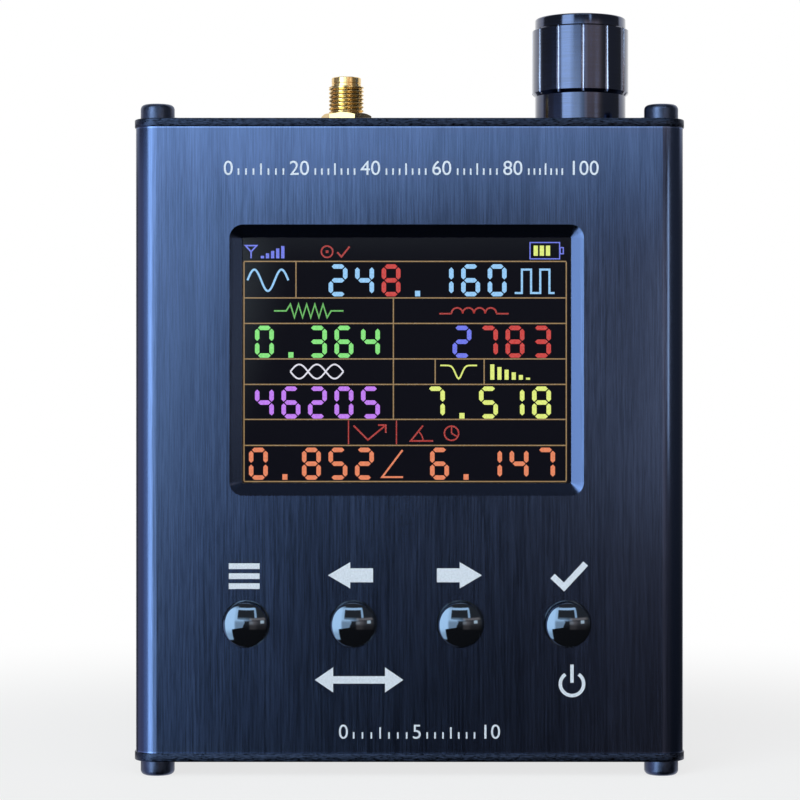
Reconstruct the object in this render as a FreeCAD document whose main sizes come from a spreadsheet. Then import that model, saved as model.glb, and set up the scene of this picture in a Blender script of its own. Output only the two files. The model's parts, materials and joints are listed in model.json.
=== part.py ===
"""Handheld antenna analyzer: an extruded case with a display, four buttons, a coaxial jack and a knob.

The case stands upright. X runs to the right, Y from the front face to the back and Z up. The origin is
under the middle of the case, on the surface that the lower screw heads stand on. Lengths are in millimetres.
"""
import FreeCAD, Part
import math
import os

import Sketcher
from FreeCAD import Placement, Rotation, Vector

SIZES = {
    # Extruded case and its two end plates
    "case_width": 96.8,
    "case_depth": 28.0,
    "case_length": 110.0,
    "case_corner": 4.0,
    "wall": 2.0,
    "seam_bevel": 0.25,
    "lap_depth": 1.2,
    "lap_gap": 0.1,
    "plate_thickness": 1.5,
    "plate_overhang": 0.2,
    # Corner screws
    "screw_inset": 3.85,
    "screw_radius": 1.5,
    "screw_length": 8.0,
    "screw_point": 0.25,
    "screw_gap": 0.06,
    "screw_hole_gap": 0.2,
    "head_radius": 3.0,
    "head_height": 2.7,
    "head_rounding": 0.8,
    "cross_width": 0.8,
    "cross_span": 3.2,
    "cross_depth": 1.3,
    "boss_radius": 3.2,
    # Display opening and the parts behind it
    "screen_x": -0.5,
    "screen_z": 73.2,
    "opening_width": 57.9,
    "opening_height": 43.3,
    "opening_corner": 0.25,
    "bevel_width": 2.15,
    "bevel_depth": 1.1,
    "panel_width": 69.2,
    "panel_height": 50.0,
    "panel_thickness": 2.0,
    "cover_thickness": 0.8,
    "frame_wall": 0.5,
    "frame_gap": 0.2,
    "carrier_gap": 0.85,
    "spacer_length": 2.5,
    "spacer_radius": 2.0,
    "spacer_inset": 3.0,
    "header_length": 30.0,
    "header_width": 2.5,
    "flex_width": 24.0,
    "flex_thickness": 0.3,
    "flex_bend": 1.6,
    # Circuit board and what it carries
    "board_thickness": 1.6,
    "board_drop": 5.5,
    "board_margin": 1.0,
    "landing_drop": 4.0,
    "slot_gap": 0.1,
    "rail_width": 1.8,
    "rail_thickness": 1.2,
    "chip_width": 14.0,
    "chip_thickness": 1.4,
    "small_chip_width": 6.0,
    "shield_height": 16.0,
    "shield_thickness": 3.5,
    "shield_wall": 0.3,
    # Buttons and their switches
    "button_z": 26.9,
    "button_pitch": 18.8,
    "button_radius": 3.9,
    "button_gap": 0.3,
    "button_proud": 3.2,
    "dome_height": 0.9,
    "cap_rounding": 0.35,
    "flange_radius": 4.9,
    "flange_thickness": 1.0,
    "flange_gap": 0.1,
    "switch_width": 6.0,
    "switch_height": 3.4,
    "plunger_radius": 1.75,
    "plunger_gap": 0.1,
    "plunger_length": 3.2,
    "plunger_room": 0.6,
    # Tuning knob
    "knob_inset": 17.4,
    "knob_lift": 0.6,
    "knob_height": 18.8,
    "knob_radius": 8.7,
    "knob_step": 0.5,
    "collar_height": 4.7,
    "crown_height": 1.9,
    "knob_bevel": 0.5,
    "dish_radius": 6.4,
    "dish_depth": 0.4,
    "groove_count": 12,
    "groove_width": 0.55,
    "groove_depth": 0.5,
    "groove_turn": 3.2,
    "knob_cavity_radius": 6.5,
    "knob_cavity_depth": 5.8,
    "knob_bore_depth": 14.6,
    "set_screw_radius": 1.5,
    "set_screw_length": 4.6,
    "set_screw_drop": 9.0,
    "set_screw_turn": 165.0,
    "hex_key_radius": 0.85,
    # Rotary encoder under the knob
    "encoder_width": 12.5,
    "encoder_depth": 13.2,
    "encoder_height": 6.5,
    "bushing_radius": 3.5,
    "bushing_length": 7.0,
    "bushing_hole_gap": 0.1,
    "shaft_radius": 3.0,
    "shaft_flat": 1.5,
    "shaft_gap": 0.05,
    "shaft_seat": 3.0,
    "encoder_nut_across": 10.0,
    "encoder_nut_thickness": 2.0,
    "encoder_washer_radius": 5.5,
    "encoder_washer_thickness": 0.5,
    # Coaxial jack
    "jack_inset": 37.0,
    "jack_height": 8.8,
    "thread_radius": 3.175,
    "thread_pitch": 0.7056,
    "thread_depth": 0.36,
    "tip_radius": 2.68,
    "tip_length": 1.7,
    "tip_bevel": 0.12,
    "jack_flange_across": 8.0,
    "jack_flange_thickness": 1.6,
    "jack_tail_radius": 2.6,
    "jack_tail_length": 5.0,
    "jack_hole_gap": 0.1,
    "jack_nut_across": 8.0,
    "jack_nut_thickness": 1.8,
    "jack_nut_turn": 20.3,
    "jack_washer_radius": 4.4,
    "jack_washer_thickness": 0.4,
    "socket_radius": 2.3,
    "socket_depth": 1.93,
    "dielectric_radius": 2.05,
    "contact_radius": 0.635,
    "contact_bore": 0.45,
    "contact_bore_depth": 3.0,
    "fit_gap": 0.02,
    # Battery, leads and charging socket
    "battery_width": 54.0,
    "battery_height": 60.0,
    "battery_thickness": 8.0,
    "battery_corner": 2.0,
    "pad_thickness": 1.0,
    "pad_width": 40.0,
    "pad_height": 50.0,
    "plug_width": 8.0,
    "plug_height": 6.0,
    "plug_thickness": 5.0,
    "plug_inset": 6.6,
    "plug_drop": 6.2,
    "lead_rise": 10.0,
    "coax_radius": 0.9,
    "coax_room": 2.7,
    "tab_inset": 5.0,
    "wire_radius": 0.5,
    "wire_bend": 1.8,
    "wire_pitch": 2.5,
    "usb_width": 8.94,
    "usb_thickness": 3.26,
    "usb_length": 7.3,
    "usb_wall": 0.3,
    "usb_back": 1.1,
    "usb_recess": 0.3,
    "usb_hole_gap": 0.3,
    "tongue_width": 6.7,
    "tongue_thickness": 0.7,
    "tongue_length": 4.6,
}

TURN_TO_X = Rotation(Vector(0, 1, 0), 90)
TURN_TO_Y = Rotation(Vector(1, 0, 0), -90)
TURN_TO_FRONT = Rotation(Vector(1, 0, 0), 90)
UPSIDE_DOWN = Rotation(Vector(1, 0, 0), 180)
FULL_TURN = 360
# A hexagon's corner lies this share of its width across flats from its middle.
HEX_REACH = 0.5 / math.cos(math.pi / 6)
# A quarter circle's middle lies this share of its radius in from each side of its corner.
ARC_SHARE = 1 - math.sqrt(0.5)

doc = FreeCAD.newDocument("antenna_analyzer")
sheet = doc.addObject("Spreadsheet::Sheet", "sizes")
nodes = []


class Size:
    """A length that knows both its number and the expression that gives it from the sheet."""

    def __init__(self, value, text):
        self.value = value
        self.text = text

    def __add__(self, other):
        other = as_size(other)
        return Size(self.value + other.value, f"({self.text} + {other.text})")

    def __sub__(self, other):
        other = as_size(other)
        return Size(self.value - other.value, f"({self.text} - {other.text})")

    def __mul__(self, other):
        other = as_size(other)
        return Size(self.value * other.value, f"({self.text} * {other.text})")

    def __truediv__(self, other):
        other = as_size(other)
        return Size(self.value / other.value, f"({self.text} / {other.text})")

    def __radd__(self, other):
        return as_size(other) + self

    def __rsub__(self, other):
        return as_size(other) - self

    def __rmul__(self, other):
        return as_size(other) * self

    def __neg__(self):
        return as_size(0) - self


def as_size(number):
    return number if isinstance(number, Size) else Size(float(number), f"({number})")


def fill_sheet():
    """Write every driving size into the sheet, beside its name."""
    for row, (alias, number) in enumerate(SIZES.items(), start=1):
        sheet.set(f"A{row}", alias)
        sheet.set(f"B{row}", str(number))
        sheet.setAlias(f"B{row}", alias)
    doc.recompute()


class Sheet:
    """Reads the sheet: s.wall is the Size of the cell with the alias wall."""

    def __getattr__(self, alias):
        return Size(float(sheet.get(alias)), f"sizes.{alias}")


def bind(thing, name, size):
    thing.setExpression(name, as_size(size).text)


def place(thing, at, turn=None):
    """Put a thing at a point given by sizes, with an optional fixed turn."""
    if turn is not None:
        thing.Placement = Placement(Vector(), turn)
    for axis, size in zip("xyz", at):
        bind(thing, f"Placement.Base.{axis}", size)
    return thing


# ---- primitives and booleans ----

def box(name, low, high):
    """A box from its lowest to its highest corner."""
    block = doc.addObject("Part::Box", name)
    for side, start, end in zip(("Length", "Width", "Height"), low, high):
        bind(block, side, as_size(end) - start)
    return place(block, low)


def cylinder(name, radius, base, length, turn=None):
    rod = doc.addObject("Part::Cylinder", name)
    bind(rod, "Radius", radius)
    bind(rod, "Height", length)
    return place(rod, base, turn)


def group(name, *links):
    """Separate solids that share one node."""
    compound = doc.addObject("Part::Compound", name)
    compound.Links = list(links)
    return compound


def cut(name, base, *tools):
    result = doc.addObject("Part::Cut", name)
    result.Base = base
    result.Tool = tools[0] if len(tools) == 1 else group(f"{name}_tools", *tools)
    return result


def mirror(name, source, normal, middle):
    """The mirror image of a thing in the plane across one axis at a given place."""
    image = doc.addObject("Part::Mirroring", name)
    image.Source = source
    image.Normal = Vector(*(1.0 if axis == normal else 0.0 for axis in "xyz"))
    bind(image, f"Base.{normal}", middle)
    return image


# ---- bodies made of sketches ----

def new_body(name):
    return doc.addObject("PartDesign::Body", name)


def origin_part(body, role):
    return next(item for item in body.Origin.OriginFeatures if item.Role == role)


def new_sketch(body, name, role, offset):
    """An empty sketch on an origin plane, moved along the plane's own normal."""
    sketch = body.newObject("Sketcher::SketchObject", f"{body.Name}_{name}")
    sketch.AttachmentSupport = (origin_part(body, role), [""])
    sketch.MapMode = "FlatFace"
    bind(sketch, "AttachmentOffset.Base.z", offset)
    return sketch


def hold(sketch, geometry, point, axis, size):
    """Bind one coordinate of a sketch point to its size."""
    size = as_size(size)
    constraint = Sketcher.Constraint(f"Distance{axis}", -1, 1, geometry, point, size.value)
    index = sketch.addConstraint(constraint)
    sketch.setExpression(f"Constraints[{index}]", size.text)


def join_ends(sketch, first, second):
    sketch.addConstraint(Sketcher.Constraint("Coincident", first, 2, second, 1))


def outline(body, name, role, offset, points):
    """A closed sketch of straight lines through points given by sizes."""
    sketch = new_sketch(body, name, role, offset)
    corners = [(as_size(across), as_size(up)) for across, up in points]
    spots = [Vector(across.value, up.value, 0) for across, up in corners]
    count = len(spots)
    sketch.addGeometry([Part.LineSegment(spots[i], spots[(i + 1) % count]) for i in range(count)])
    for i, (across, up) in enumerate(corners):
        join_ends(sketch, i, (i + 1) % count)
        hold(sketch, i, 1, "X", across)
        hold(sketch, i, 1, "Y", up)
    return sketch


def circles(body, name, role, offset, centres, radius):
    """A sketch of equal circles."""
    sketch = new_sketch(body, name, role, offset)
    radius = as_size(radius)
    for i, (across, up) in enumerate(centres):
        middle = Vector(as_size(across).value, as_size(up).value, 0)
        sketch.addGeometry(Part.Circle(middle, Vector(0, 0, 1), radius.value))
        hold(sketch, i, 3, "X", across)
        hold(sketch, i, 3, "Y", up)
        index = sketch.addConstraint(Sketcher.Constraint("Radius", i, radius.value))
        sketch.setExpression(f"Constraints[{index}]", radius.text)
    return sketch


def rectangle(middle_x, middle_y, width, height):
    """The corners of a rectangle about its middle."""
    left, right = middle_x - width / 2, middle_x + width / 2
    low, high = middle_y - height / 2, middle_y + height / 2
    return [(left, low), (right, low), (right, high), (left, high)]


def hexagon(across_flats):
    """The corners of a hexagon about the origin, with flats across X."""
    turns = [math.radians(30 + 60 * i) for i in range(6)]
    return [(across_flats * (HEX_REACH * math.cos(turn)), across_flats * (HEX_REACH * math.sin(turn)))
            for turn in turns]


def pad(body, sketch, length, backwards=False):
    feature = body.newObject("PartDesign::Pad", f"{sketch.Name}_pad")
    feature.Profile = sketch
    bind(feature, "Length", length)
    feature.Reversed = backwards
    return feature


def pocket(body, sketch, depth, backwards=False):
    """Cut a sketch into its body, against the sketch's normal unless backwards, and check that it cut."""
    doc.recompute()
    before = body.Shape.Volume
    feature = body.newObject("PartDesign::Pocket", f"{sketch.Name}_pocket")
    feature.Profile = sketch
    bind(feature, "Length", depth)
    feature.Reversed = backwards
    doc.recompute()
    if body.Shape.Volume >= before:
        raise RuntimeError(f"{feature.Name} cut nothing")
    return feature


def turn_about_axis(body, sketch, kind):
    """Turn a sketch about the body's own Z axis, to add to the body or to cut a groove."""
    feature = body.newObject(f"PartDesign::{kind}", f"{sketch.Name}_turned")
    feature.Profile = sketch
    feature.ReferenceAxis = (sketch, ["V_Axis"])
    feature.Angle = FULL_TURN
    return feature


def revolve(body, points, kind="Revolution", name="profile"):
    """Turn a profile of (radius, height) points about the body's own Z axis."""
    return turn_about_axis(body, outline(body, name, "XZ_Plane", 0, points), kind)


def edges_where(feature, test):
    """The names of the edges whose middle and direction pass a test."""
    doc.recompute()
    names = []
    for index, edge in enumerate(feature.Shape.Edges, start=1):
        along = edge.Vertexes[-1].Point - edge.Vertexes[0].Point
        if test(edge.CenterOfMass, along):
            names.append(f"Edge{index}")
    return names


def is_upright(along):
    return abs(along.x) + abs(along.y) < 1e-6 < abs(along.z)


def is_deep(along):
    return abs(along.x) + abs(along.z) < 1e-6 < abs(along.y)


def round_edges(body, base, names, radius):
    feature = body.newObject("PartDesign::Fillet", f"{base.Name}_rounding")
    feature.Base = (base, names)
    bind(feature, "Radius", radius)
    return feature


def keep(node):
    """List a finished sub-part; its label names its file."""
    nodes.append(node)


fill_sheet()
s = Sheet()

# ---- shared places, all from the sizes ----

half_width = s.case_width / 2
front_y = (s.button_proud - s.case_depth - s.plate_overhang) / 2
back_y = front_y + s.case_depth
middle_y = front_y + s.case_depth / 2
base_z = s.head_height
case_z = base_z + s.plate_thickness
lid_z = case_z + s.case_length
top_z = lid_z + s.plate_thickness

inside_front_y = front_y + s.wall
inside_back_y = back_y - s.wall
inside_x = half_width - s.wall
channel_radius = s.screw_radius + s.screw_gap
screw_x = half_width - s.screw_inset
screw_front_y = front_y + s.screw_inset
screw_back_y = back_y - s.screw_inset

cover_y = inside_front_y + s.cover_thickness
frame_back_y = cover_y + s.panel_thickness + s.frame_wall
carrier_back_y = frame_back_y + s.board_thickness
board_y = carrier_back_y + s.spacer_length
board_back_y = board_y + s.board_thickness
board_z = case_z + s.board_margin
board_top_z = lid_z - s.encoder_height - s.board_drop
rail_x = inside_x - s.rail_width
frame_width = s.panel_width + (s.frame_gap + s.frame_wall) * 2
frame_height = s.panel_height + (s.frame_gap + s.frame_wall) * 2
carrier_width = (screw_x - s.boss_radius - s.carrier_gap) * 2

flange_y = inside_front_y + s.flange_gap
switch_y = board_y - s.switch_height
plunger_y = flange_y + s.flange_thickness
button_columns = {
    "menu": s.screen_x - s.button_pitch * 1.5,
    "left": s.screen_x - s.button_pitch * 0.5,
    "right": s.screen_x + s.button_pitch * 0.5,
    "ok": s.screen_x + s.button_pitch * 1.5,
}

knob_x = half_width - s.knob_inset
jack_x = s.jack_inset - half_width
landing_z = board_top_z - s.landing_drop
plug_x = rail_x - s.plug_inset - s.plug_width / 2
plug_z = landing_z - s.plug_drop
battery_top = plug_z - s.lead_rise
battery_z = battery_top - s.battery_height / 2
battery_back_y = inside_back_y - s.pad_thickness
usb_y = board_back_y + s.usb_thickness / 2
jack_tail_z = -s.plate_thickness - s.jack_flange_thickness - s.jack_tail_length
jack_mouth_z = s.jack_height - s.socket_depth
knob_turn = Rotation(Vector(0, 0, 1), s.groove_turn.value - 90)
set_screw_turn = Rotation(Vector(0, 0, 1), s.set_screw_turn.value)


# ---- case ----

def shell_profile(outer_y, step_y, side):
    """Half of the case in section, from its seam to its wall; side is 1 where the wall is behind the seam."""
    inner_y = outer_y - s.wall * side
    return [
        (half_width - s.seam_bevel, middle_y),
        (half_width, middle_y + s.seam_bevel * side),
        (half_width, outer_y),
        (-half_width, outer_y),
        (-half_width, middle_y + s.seam_bevel * side),
        (-half_width + s.seam_bevel, middle_y),
        *step_y(-1),
        (-inside_x, inner_y),
        (inside_x, inner_y),
        *reversed(step_y(1)),
    ]


def front_lap(side):
    """The tongue of the front half and the slot for the board, on one side of the case."""
    tongue_y = middle_y + s.lap_depth
    slot_front = board_y - s.slot_gap
    slot_back = board_back_y + s.slot_gap
    tongue_x = half_width - s.wall / 2
    return [
        (tongue_x * side, middle_y),
        (tongue_x * side, tongue_y),
        (inside_x * side, tongue_y),
        (inside_x * side, slot_back + s.rail_thickness),
        (rail_x * side, slot_back + s.rail_thickness),
        (rail_x * side, slot_back),
        (inside_x * side, slot_back),
        (inside_x * side, slot_front),
        (rail_x * side, slot_front),
        (rail_x * side, slot_front - s.rail_thickness),
        (inside_x * side, slot_front - s.rail_thickness),
    ]


def rear_lap(side):
    """The groove of the rear half that takes the front half's tongue, on one side of the case."""
    groove_x = half_width - s.wall / 2 + s.lap_gap
    groove_y = middle_y + s.lap_depth + s.lap_gap
    return [
        (groove_x * side, middle_y),
        (groove_x * side, groove_y),
        (inside_x * side, groove_y),
    ]


def make_shell(name, outer_y, screw_y, lap, side):
    """One half of the extruded case with its two screw channels."""
    body = new_body(name)
    section = outline(body, "section", "XY_Plane", case_z, shell_profile(outer_y, lap, side))
    walls = pad(body, section, s.case_length)
    outer = edges_where(walls, lambda middle, along: is_upright(along)
                        and abs(abs(middle.x) - half_width.value) < 1e-6
                        and abs(middle.y - outer_y.value) < 1e-6)
    round_edges(body, walls, outer, s.case_corner)
    spots = [(screw_x, screw_y), (-screw_x, screw_y)]
    pad(body, circles(body, "bosses", "XY_Plane", case_z, spots, s.boss_radius), s.case_length)
    channels = circles(body, "channels", "XY_Plane", lid_z, spots, channel_radius)
    pocket(body, channels, s.case_length)
    return body


def cut_display_opening(body):
    """The display opening, with a sloping bevel around it."""
    corners = rectangle(s.screen_x, s.screen_z, s.opening_width, s.opening_height)
    opening = pocket(body, outline(body, "opening", "XZ_Plane", -front_y, corners), s.wall)
    reach_x = (s.opening_width / 2 + s.opening_corner).value
    reach_z = (s.opening_height / 2 + s.opening_corner).value

    def near_opening(middle):
        return (abs(middle.x - s.screen_x.value) < reach_x
                and abs(middle.z - s.screen_z.value) < reach_z)

    corner_edges = edges_where(opening, lambda middle, along: is_deep(along) and near_opening(middle))
    rounding = round_edges(body, opening, corner_edges, s.opening_corner)
    rim = edges_where(rounding, lambda middle, along: near_opening(middle)
                      and abs(middle.y - front_y.value) < 1e-6)
    bevel = body.newObject("PartDesign::Chamfer", "display_bevel")
    bevel.Base = (rounding, rim[:1])
    bevel.ChamferType = "Two distances"
    bind(bevel, "Size", s.bevel_depth)
    bind(bevel, "Size2", s.bevel_width)
    return bevel


def make_front_shell():
    body = make_shell("front_shell", front_y, screw_front_y, front_lap, -1)
    cut_display_opening(body)
    spots = [(x, s.button_z) for x in button_columns.values()]
    hole_radius = s.button_radius + s.button_gap
    pocket(body, circles(body, "button_holes", "XZ_Plane", -front_y, spots, hole_radius), s.wall)
    keep(body)


def make_end_plate(name, low_z):
    """A flat rounded plate with four screw holes."""
    body = new_body(name)
    overhang = s.plate_overhang * 2
    corners = rectangle(as_size(0), middle_y, s.case_width + overhang, s.case_depth + overhang)
    slab = pad(body, outline(body, "edge", "XY_Plane", low_z, corners), s.plate_thickness)
    upright = edges_where(slab, lambda middle, along: is_upright(along))
    round_edges(body, slab, upright, s.case_corner + s.plate_overhang)
    spots = [(screw_x * side, y) for side in (-1, 1) for y in (screw_front_y, screw_back_y)]
    hole_radius = s.screw_radius + s.screw_hole_gap
    holes = circles(body, "screw_holes", "XY_Plane", low_z + s.plate_thickness, spots, hole_radius)
    pocket(body, holes, s.plate_thickness)
    return body


def make_top_plate():
    body = make_end_plate("top_end_plate", lid_z)
    for name, x, radius in (
        ("jack_hole", jack_x, s.thread_radius + s.jack_hole_gap),
        ("encoder_hole", knob_x, s.bushing_radius + s.bushing_hole_gap),
    ):
        pocket(body, circles(body, name, "XY_Plane", top_z, [(x, middle_y)], radius), s.plate_thickness)
    keep(body)


def make_bottom_plate():
    body = make_end_plate("bottom_end_plate", base_z)
    gap = s.usb_hole_gap * 2
    corners = rectangle(as_size(0), usb_y, s.usb_width + gap, s.usb_thickness + gap)
    slot = pocket(body, outline(body, "usb_slot", "XY_Plane", case_z, corners), s.plate_thickness)
    half_slot = s.usb_width.value / 2 + gap.value
    upright = edges_where(slot, lambda middle, along: is_upright(along) and abs(middle.x) < half_slot
                          and abs(middle.y - usb_y.value) < s.usb_thickness.value)
    round_edges(body, slot, upright, (s.usb_thickness + gap) / 2 - s.fit_gap)
    keep(body)


def make_screw(name):
    """A pan-head screw with a cross recess, standing on its point, its head's seat at the origin."""
    body = new_body(f"{name}_blank")
    rounded = s.head_rounding
    revolve(body, [
        (0, -s.screw_length),
        (s.screw_radius - s.screw_point, -s.screw_length),
        (s.screw_radius, -s.screw_length + s.screw_point * 2),
        (s.screw_radius, 0),
        (s.head_radius, 0),
        (s.head_radius, s.head_height - rounded),
        (s.head_radius - rounded * ARC_SHARE, s.head_height - rounded * ARC_SHARE),
        (s.head_radius - rounded, s.head_height),
        (0, s.head_height),
    ])
    half_span, half_cross = s.cross_span / 2, s.cross_width / 2
    low, high = s.head_height - s.cross_depth, s.head_height + s.cross_depth
    slots = [
        box(f"{name}_slot_x", (-half_span, -half_cross, low), (half_span, half_cross, high)),
        box(f"{name}_slot_y", (-half_cross, -half_span, low), (half_cross, half_span, high)),
    ]
    return cut(f"{name}_screw", body, *slots)


def make_plate_screws(name, seat_z, turn):
    """Four equal screws, one in each corner, mirrored across the middle of the case."""
    screw = place(make_screw(name), (-screw_x, screw_front_y, seat_z), turn)
    row = group(f"{name}_row", screw, mirror(f"{name}_other_side", screw, "x", 0))
    keep(group(name, row, mirror(f"{name}_back_row", row, "y", middle_y)))


# ---- display ----

def around_screen(name, width, height, front, back):
    """A block centred on the display."""
    half_x, half_z = width / 2, height / 2
    low = (s.screen_x - half_x, front, s.screen_z - half_z)
    high = (s.screen_x + half_x, back, s.screen_z + half_z)
    return box(name, low, high)


def make_display():
    panel_back_y = cover_y + s.panel_thickness
    gap = s.frame_gap * 2
    keep(around_screen("display_window", frame_width, frame_height, inside_front_y, cover_y))
    keep(around_screen("display_panel", s.panel_width, s.panel_height, cover_y, panel_back_y))
    tray = around_screen("display_tray", frame_width, frame_height, cover_y, frame_back_y)
    hollow = around_screen("tray_hollow", s.panel_width + gap, s.panel_height + gap, cover_y, panel_back_y)
    keep(cut("display_frame", tray, hollow))
    keep(around_screen("display_board", carrier_width, frame_height, frame_back_y, carrier_back_y))
    make_spacers()
    header_z = s.screen_z - frame_height / 2 + s.spacer_inset
    half = s.header_length / 2
    keep(box("display_header",
             (s.screen_x - half, carrier_back_y, header_z - s.header_width / 2),
             (s.screen_x + half, board_y, header_z + s.header_width / 2)))
    make_flex()


def make_spacers():
    """Four spacers between the display's own board and the main board."""
    corner_x = carrier_width / 2 - s.spacer_inset
    corner_z = frame_height / 2 - s.spacer_inset
    corner = (s.screen_x - corner_x, carrier_back_y, s.screen_z - corner_z)
    first = cylinder("first_spacer", s.spacer_radius, corner, s.spacer_length, TURN_TO_Y)
    row = group("spacer_row", first, mirror("other_spacer", first, "x", s.screen_x))
    keep(group("display_spacers", row, mirror("upper_spacers", row, "z", s.screen_z)))


def make_flex():
    """The flat cable that leaves the top of the panel, folds over and lands on the back of its board."""
    body = new_body("display_flex")
    top = s.screen_z + frame_height / 2
    rise = top + s.flex_bend
    thick = s.flex_thickness
    front = cover_y + s.flex_bend / 2
    back = carrier_back_y + thick
    land = top - s.flex_bend
    strip = outline(body, "strip", "YZ_Plane", s.screen_x - s.flex_width / 2, [
        (front, top),
        (front + thick, top),
        (front + thick, rise - thick),
        (carrier_back_y, rise - thick),
        (carrier_back_y, land),
        (back, land),
        (back, rise),
        (front, rise),
    ])
    pad(body, strip, s.flex_width)
    keep(body)


# ---- boards, chips and leads ----

def on_board(name, x, z, width, height, thickness):
    """A block that sits on the back of the main board."""
    low = (x - width / 2, board_back_y, z - height / 2)
    high = (x + width / 2, board_back_y + thickness, z + height / 2)
    return box(name, low, high)


def make_boards():
    edge = inside_x - s.slot_gap
    keep(box("main_board", (-edge, board_y, board_z), (edge, board_back_y, board_top_z)))
    chip_z = s.button_z + s.chip_width
    keep(on_board("main_processor", s.screen_x, chip_z, s.chip_width, s.chip_width, s.chip_thickness))
    small = s.small_chip_width
    chips = [on_board(f"{name}_chip", x, s.button_z, small, small, s.chip_thickness)
             for name, x in button_columns.items()]
    keep(group("support_chips", *chips))
    shield_left = s.board_margin - rail_x
    shield_right = jack_x - s.coax_room
    shield_x = (shield_left + shield_right) / 2
    shield_z = board_top_z - s.board_margin - s.shield_height / 2
    width, height, depth = shield_right - shield_left, s.shield_height, s.shield_thickness
    inner = s.shield_wall * 2
    can = on_board("shield_can", shield_x, shield_z, width, height, depth)
    room = on_board("shield_room", shield_x, shield_z, width - inner, height - inner, depth - s.shield_wall)
    keep(cut("rf_shield", can, room))


def make_lead(name, radius, points, bend):
    """A round lead along straight runs that rounded corners join."""
    spots = [Vector(*(as_size(size).value for size in point)) for point in points]
    bend = as_size(bend).value
    edges = []
    start = spots[0]
    for before, corner, after in zip(spots, spots[1:], spots[2:]):
        into = (corner - before).normalize()
        out = (after - corner).normalize()
        arc_start = corner - into * bend
        arc_end = corner + out * bend
        middle = corner + (out - into) * (bend * ARC_SHARE)
        edges.append(Part.LineSegment(start, arc_start).toShape())
        edges.append(Part.Arc(arc_start, middle, arc_end).toShape())
        start = arc_end
    edges.append(Part.LineSegment(start, spots[-1]).toShape())
    ring = Part.Wire([Part.Circle(spots[0], spots[1] - spots[0], as_size(radius).value).toShape()])
    lead = doc.addObject("Part::Feature", name)
    lead.Shape = Part.Wire(edges).makePipeShell([ring], True, True)
    return lead


def make_leads():
    """The coaxial link of the jack, the encoder's wires and the battery's wires."""
    keep(make_lead("coax_lead", s.coax_radius, [
        (jack_x, middle_y, top_z + jack_tail_z),
        (jack_x, middle_y, landing_z),
        (jack_x, board_back_y, landing_z),
    ], s.wire_bend))
    encoder_z = lid_z - s.encoder_height
    wires = [make_lead(f"encoder_wire_{i}", s.wire_radius, [
        (knob_x + s.wire_pitch * i, middle_y, encoder_z),
        (knob_x + s.wire_pitch * i, middle_y, landing_z),
        (knob_x + s.wire_pitch * i, board_back_y, landing_z),
    ], s.wire_bend) for i in (-1, 0, 1)]
    keep(group("encoder_leads", *wires))
    battery_y = battery_back_y - s.battery_thickness / 2
    supply_y = board_back_y + s.plug_thickness / 2
    half_pitch = s.wire_pitch / 2
    tab_x = s.battery_width / 2 - s.tab_inset
    leads = [make_lead(f"battery_wire_{i}", s.wire_radius, [
        (tab_x + half_pitch * i, battery_y, battery_top),
        (tab_x + half_pitch * i, battery_y, plug_z + half_pitch * i),
        (tab_x + half_pitch * i, supply_y, plug_z + half_pitch * i),
        (plug_x - s.plug_width / 2, supply_y, plug_z + half_pitch * i),
    ], s.wire_bend) for i in (-1, 1)]
    keep(group("battery_leads", *leads))
    keep(on_board("battery_plug", plug_x, plug_z, s.plug_width, s.plug_height, s.plug_thickness))


# ---- buttons ----

def make_button(name, x):
    """A domed cap with a flange behind the wall, and its switch's plunger behind it."""
    body = new_body(f"{name}_button")
    sketch = new_sketch(body, "profile", "XZ_Plane", 0)
    length = s.button_proud + s.wall + s.flange_gap
    apex = length + s.flange_thickness
    rim = apex - s.dome_height
    dome_radius = (s.button_radius * s.button_radius + s.dome_height * s.dome_height) / (s.dome_height * 2)
    corners = [(0, apex), (0, 0), (s.flange_radius, 0), (s.flange_radius, s.flange_thickness),
               (s.button_radius, s.flange_thickness), (s.button_radius, rim)]
    spots = [Vector(as_size(across).value, as_size(up).value, 0) for across, up in corners]
    for start, end in zip(spots, spots[1:]):
        sketch.addGeometry(Part.LineSegment(start, end))
    middle = Vector(0, (apex - dome_radius).value, 0)
    start_turn = math.atan2(rim.value - middle.y, s.button_radius.value)
    dome = Part.Circle(middle, Vector(0, 0, 1), dome_radius.value)
    last = sketch.addGeometry(Part.ArcOfCircle(dome, start_turn, math.pi / 2))
    for i, (across, up) in enumerate(corners):
        join_ends(sketch, i, (i + 1) % len(corners))
        hold(sketch, i, 1, "X", across)
        hold(sketch, i, 1, "Y", up)
    sketch.addConstraint(Sketcher.Constraint("PointOnObject", last, 3, -2))
    turned = turn_about_axis(body, sketch, "Revolution")
    shoulder = edges_where(turned, lambda middle, along: abs(middle.z - rim.value) < 1e-6)
    round_edges(body, turned, shoulder, s.cap_rounding)
    back = (x, plunger_y, s.button_z)
    keep(place(body, back, TURN_TO_FRONT))
    keep(cylinder(f"{name}_plunger", s.plunger_radius, back, s.plunger_length, TURN_TO_Y))


def make_switch(name, x):
    """A square tactile switch on the main board, bored for its plunger."""
    half = s.switch_width / 2
    low = (x - half, switch_y, s.button_z - half)
    high = (x + half, board_y, s.button_z + half)
    block = box(f"{name}_switch_block", low, high)
    bore_radius = s.plunger_radius + s.plunger_gap
    bore_depth = plunger_y + s.plunger_length + s.plunger_room - switch_y
    mouth = (x, switch_y, s.button_z)
    bore = cylinder(f"{name}_switch_bore", bore_radius, mouth, bore_depth, TURN_TO_Y)
    return cut(f"{name}_switch", block, bore)


def make_buttons():
    for name, x in button_columns.items():
        make_button(name, x)
    keep(group("button_switches", *(make_switch(name, x) for name, x in button_columns.items())))


# ---- nuts, washers, encoder and knob ----

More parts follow.
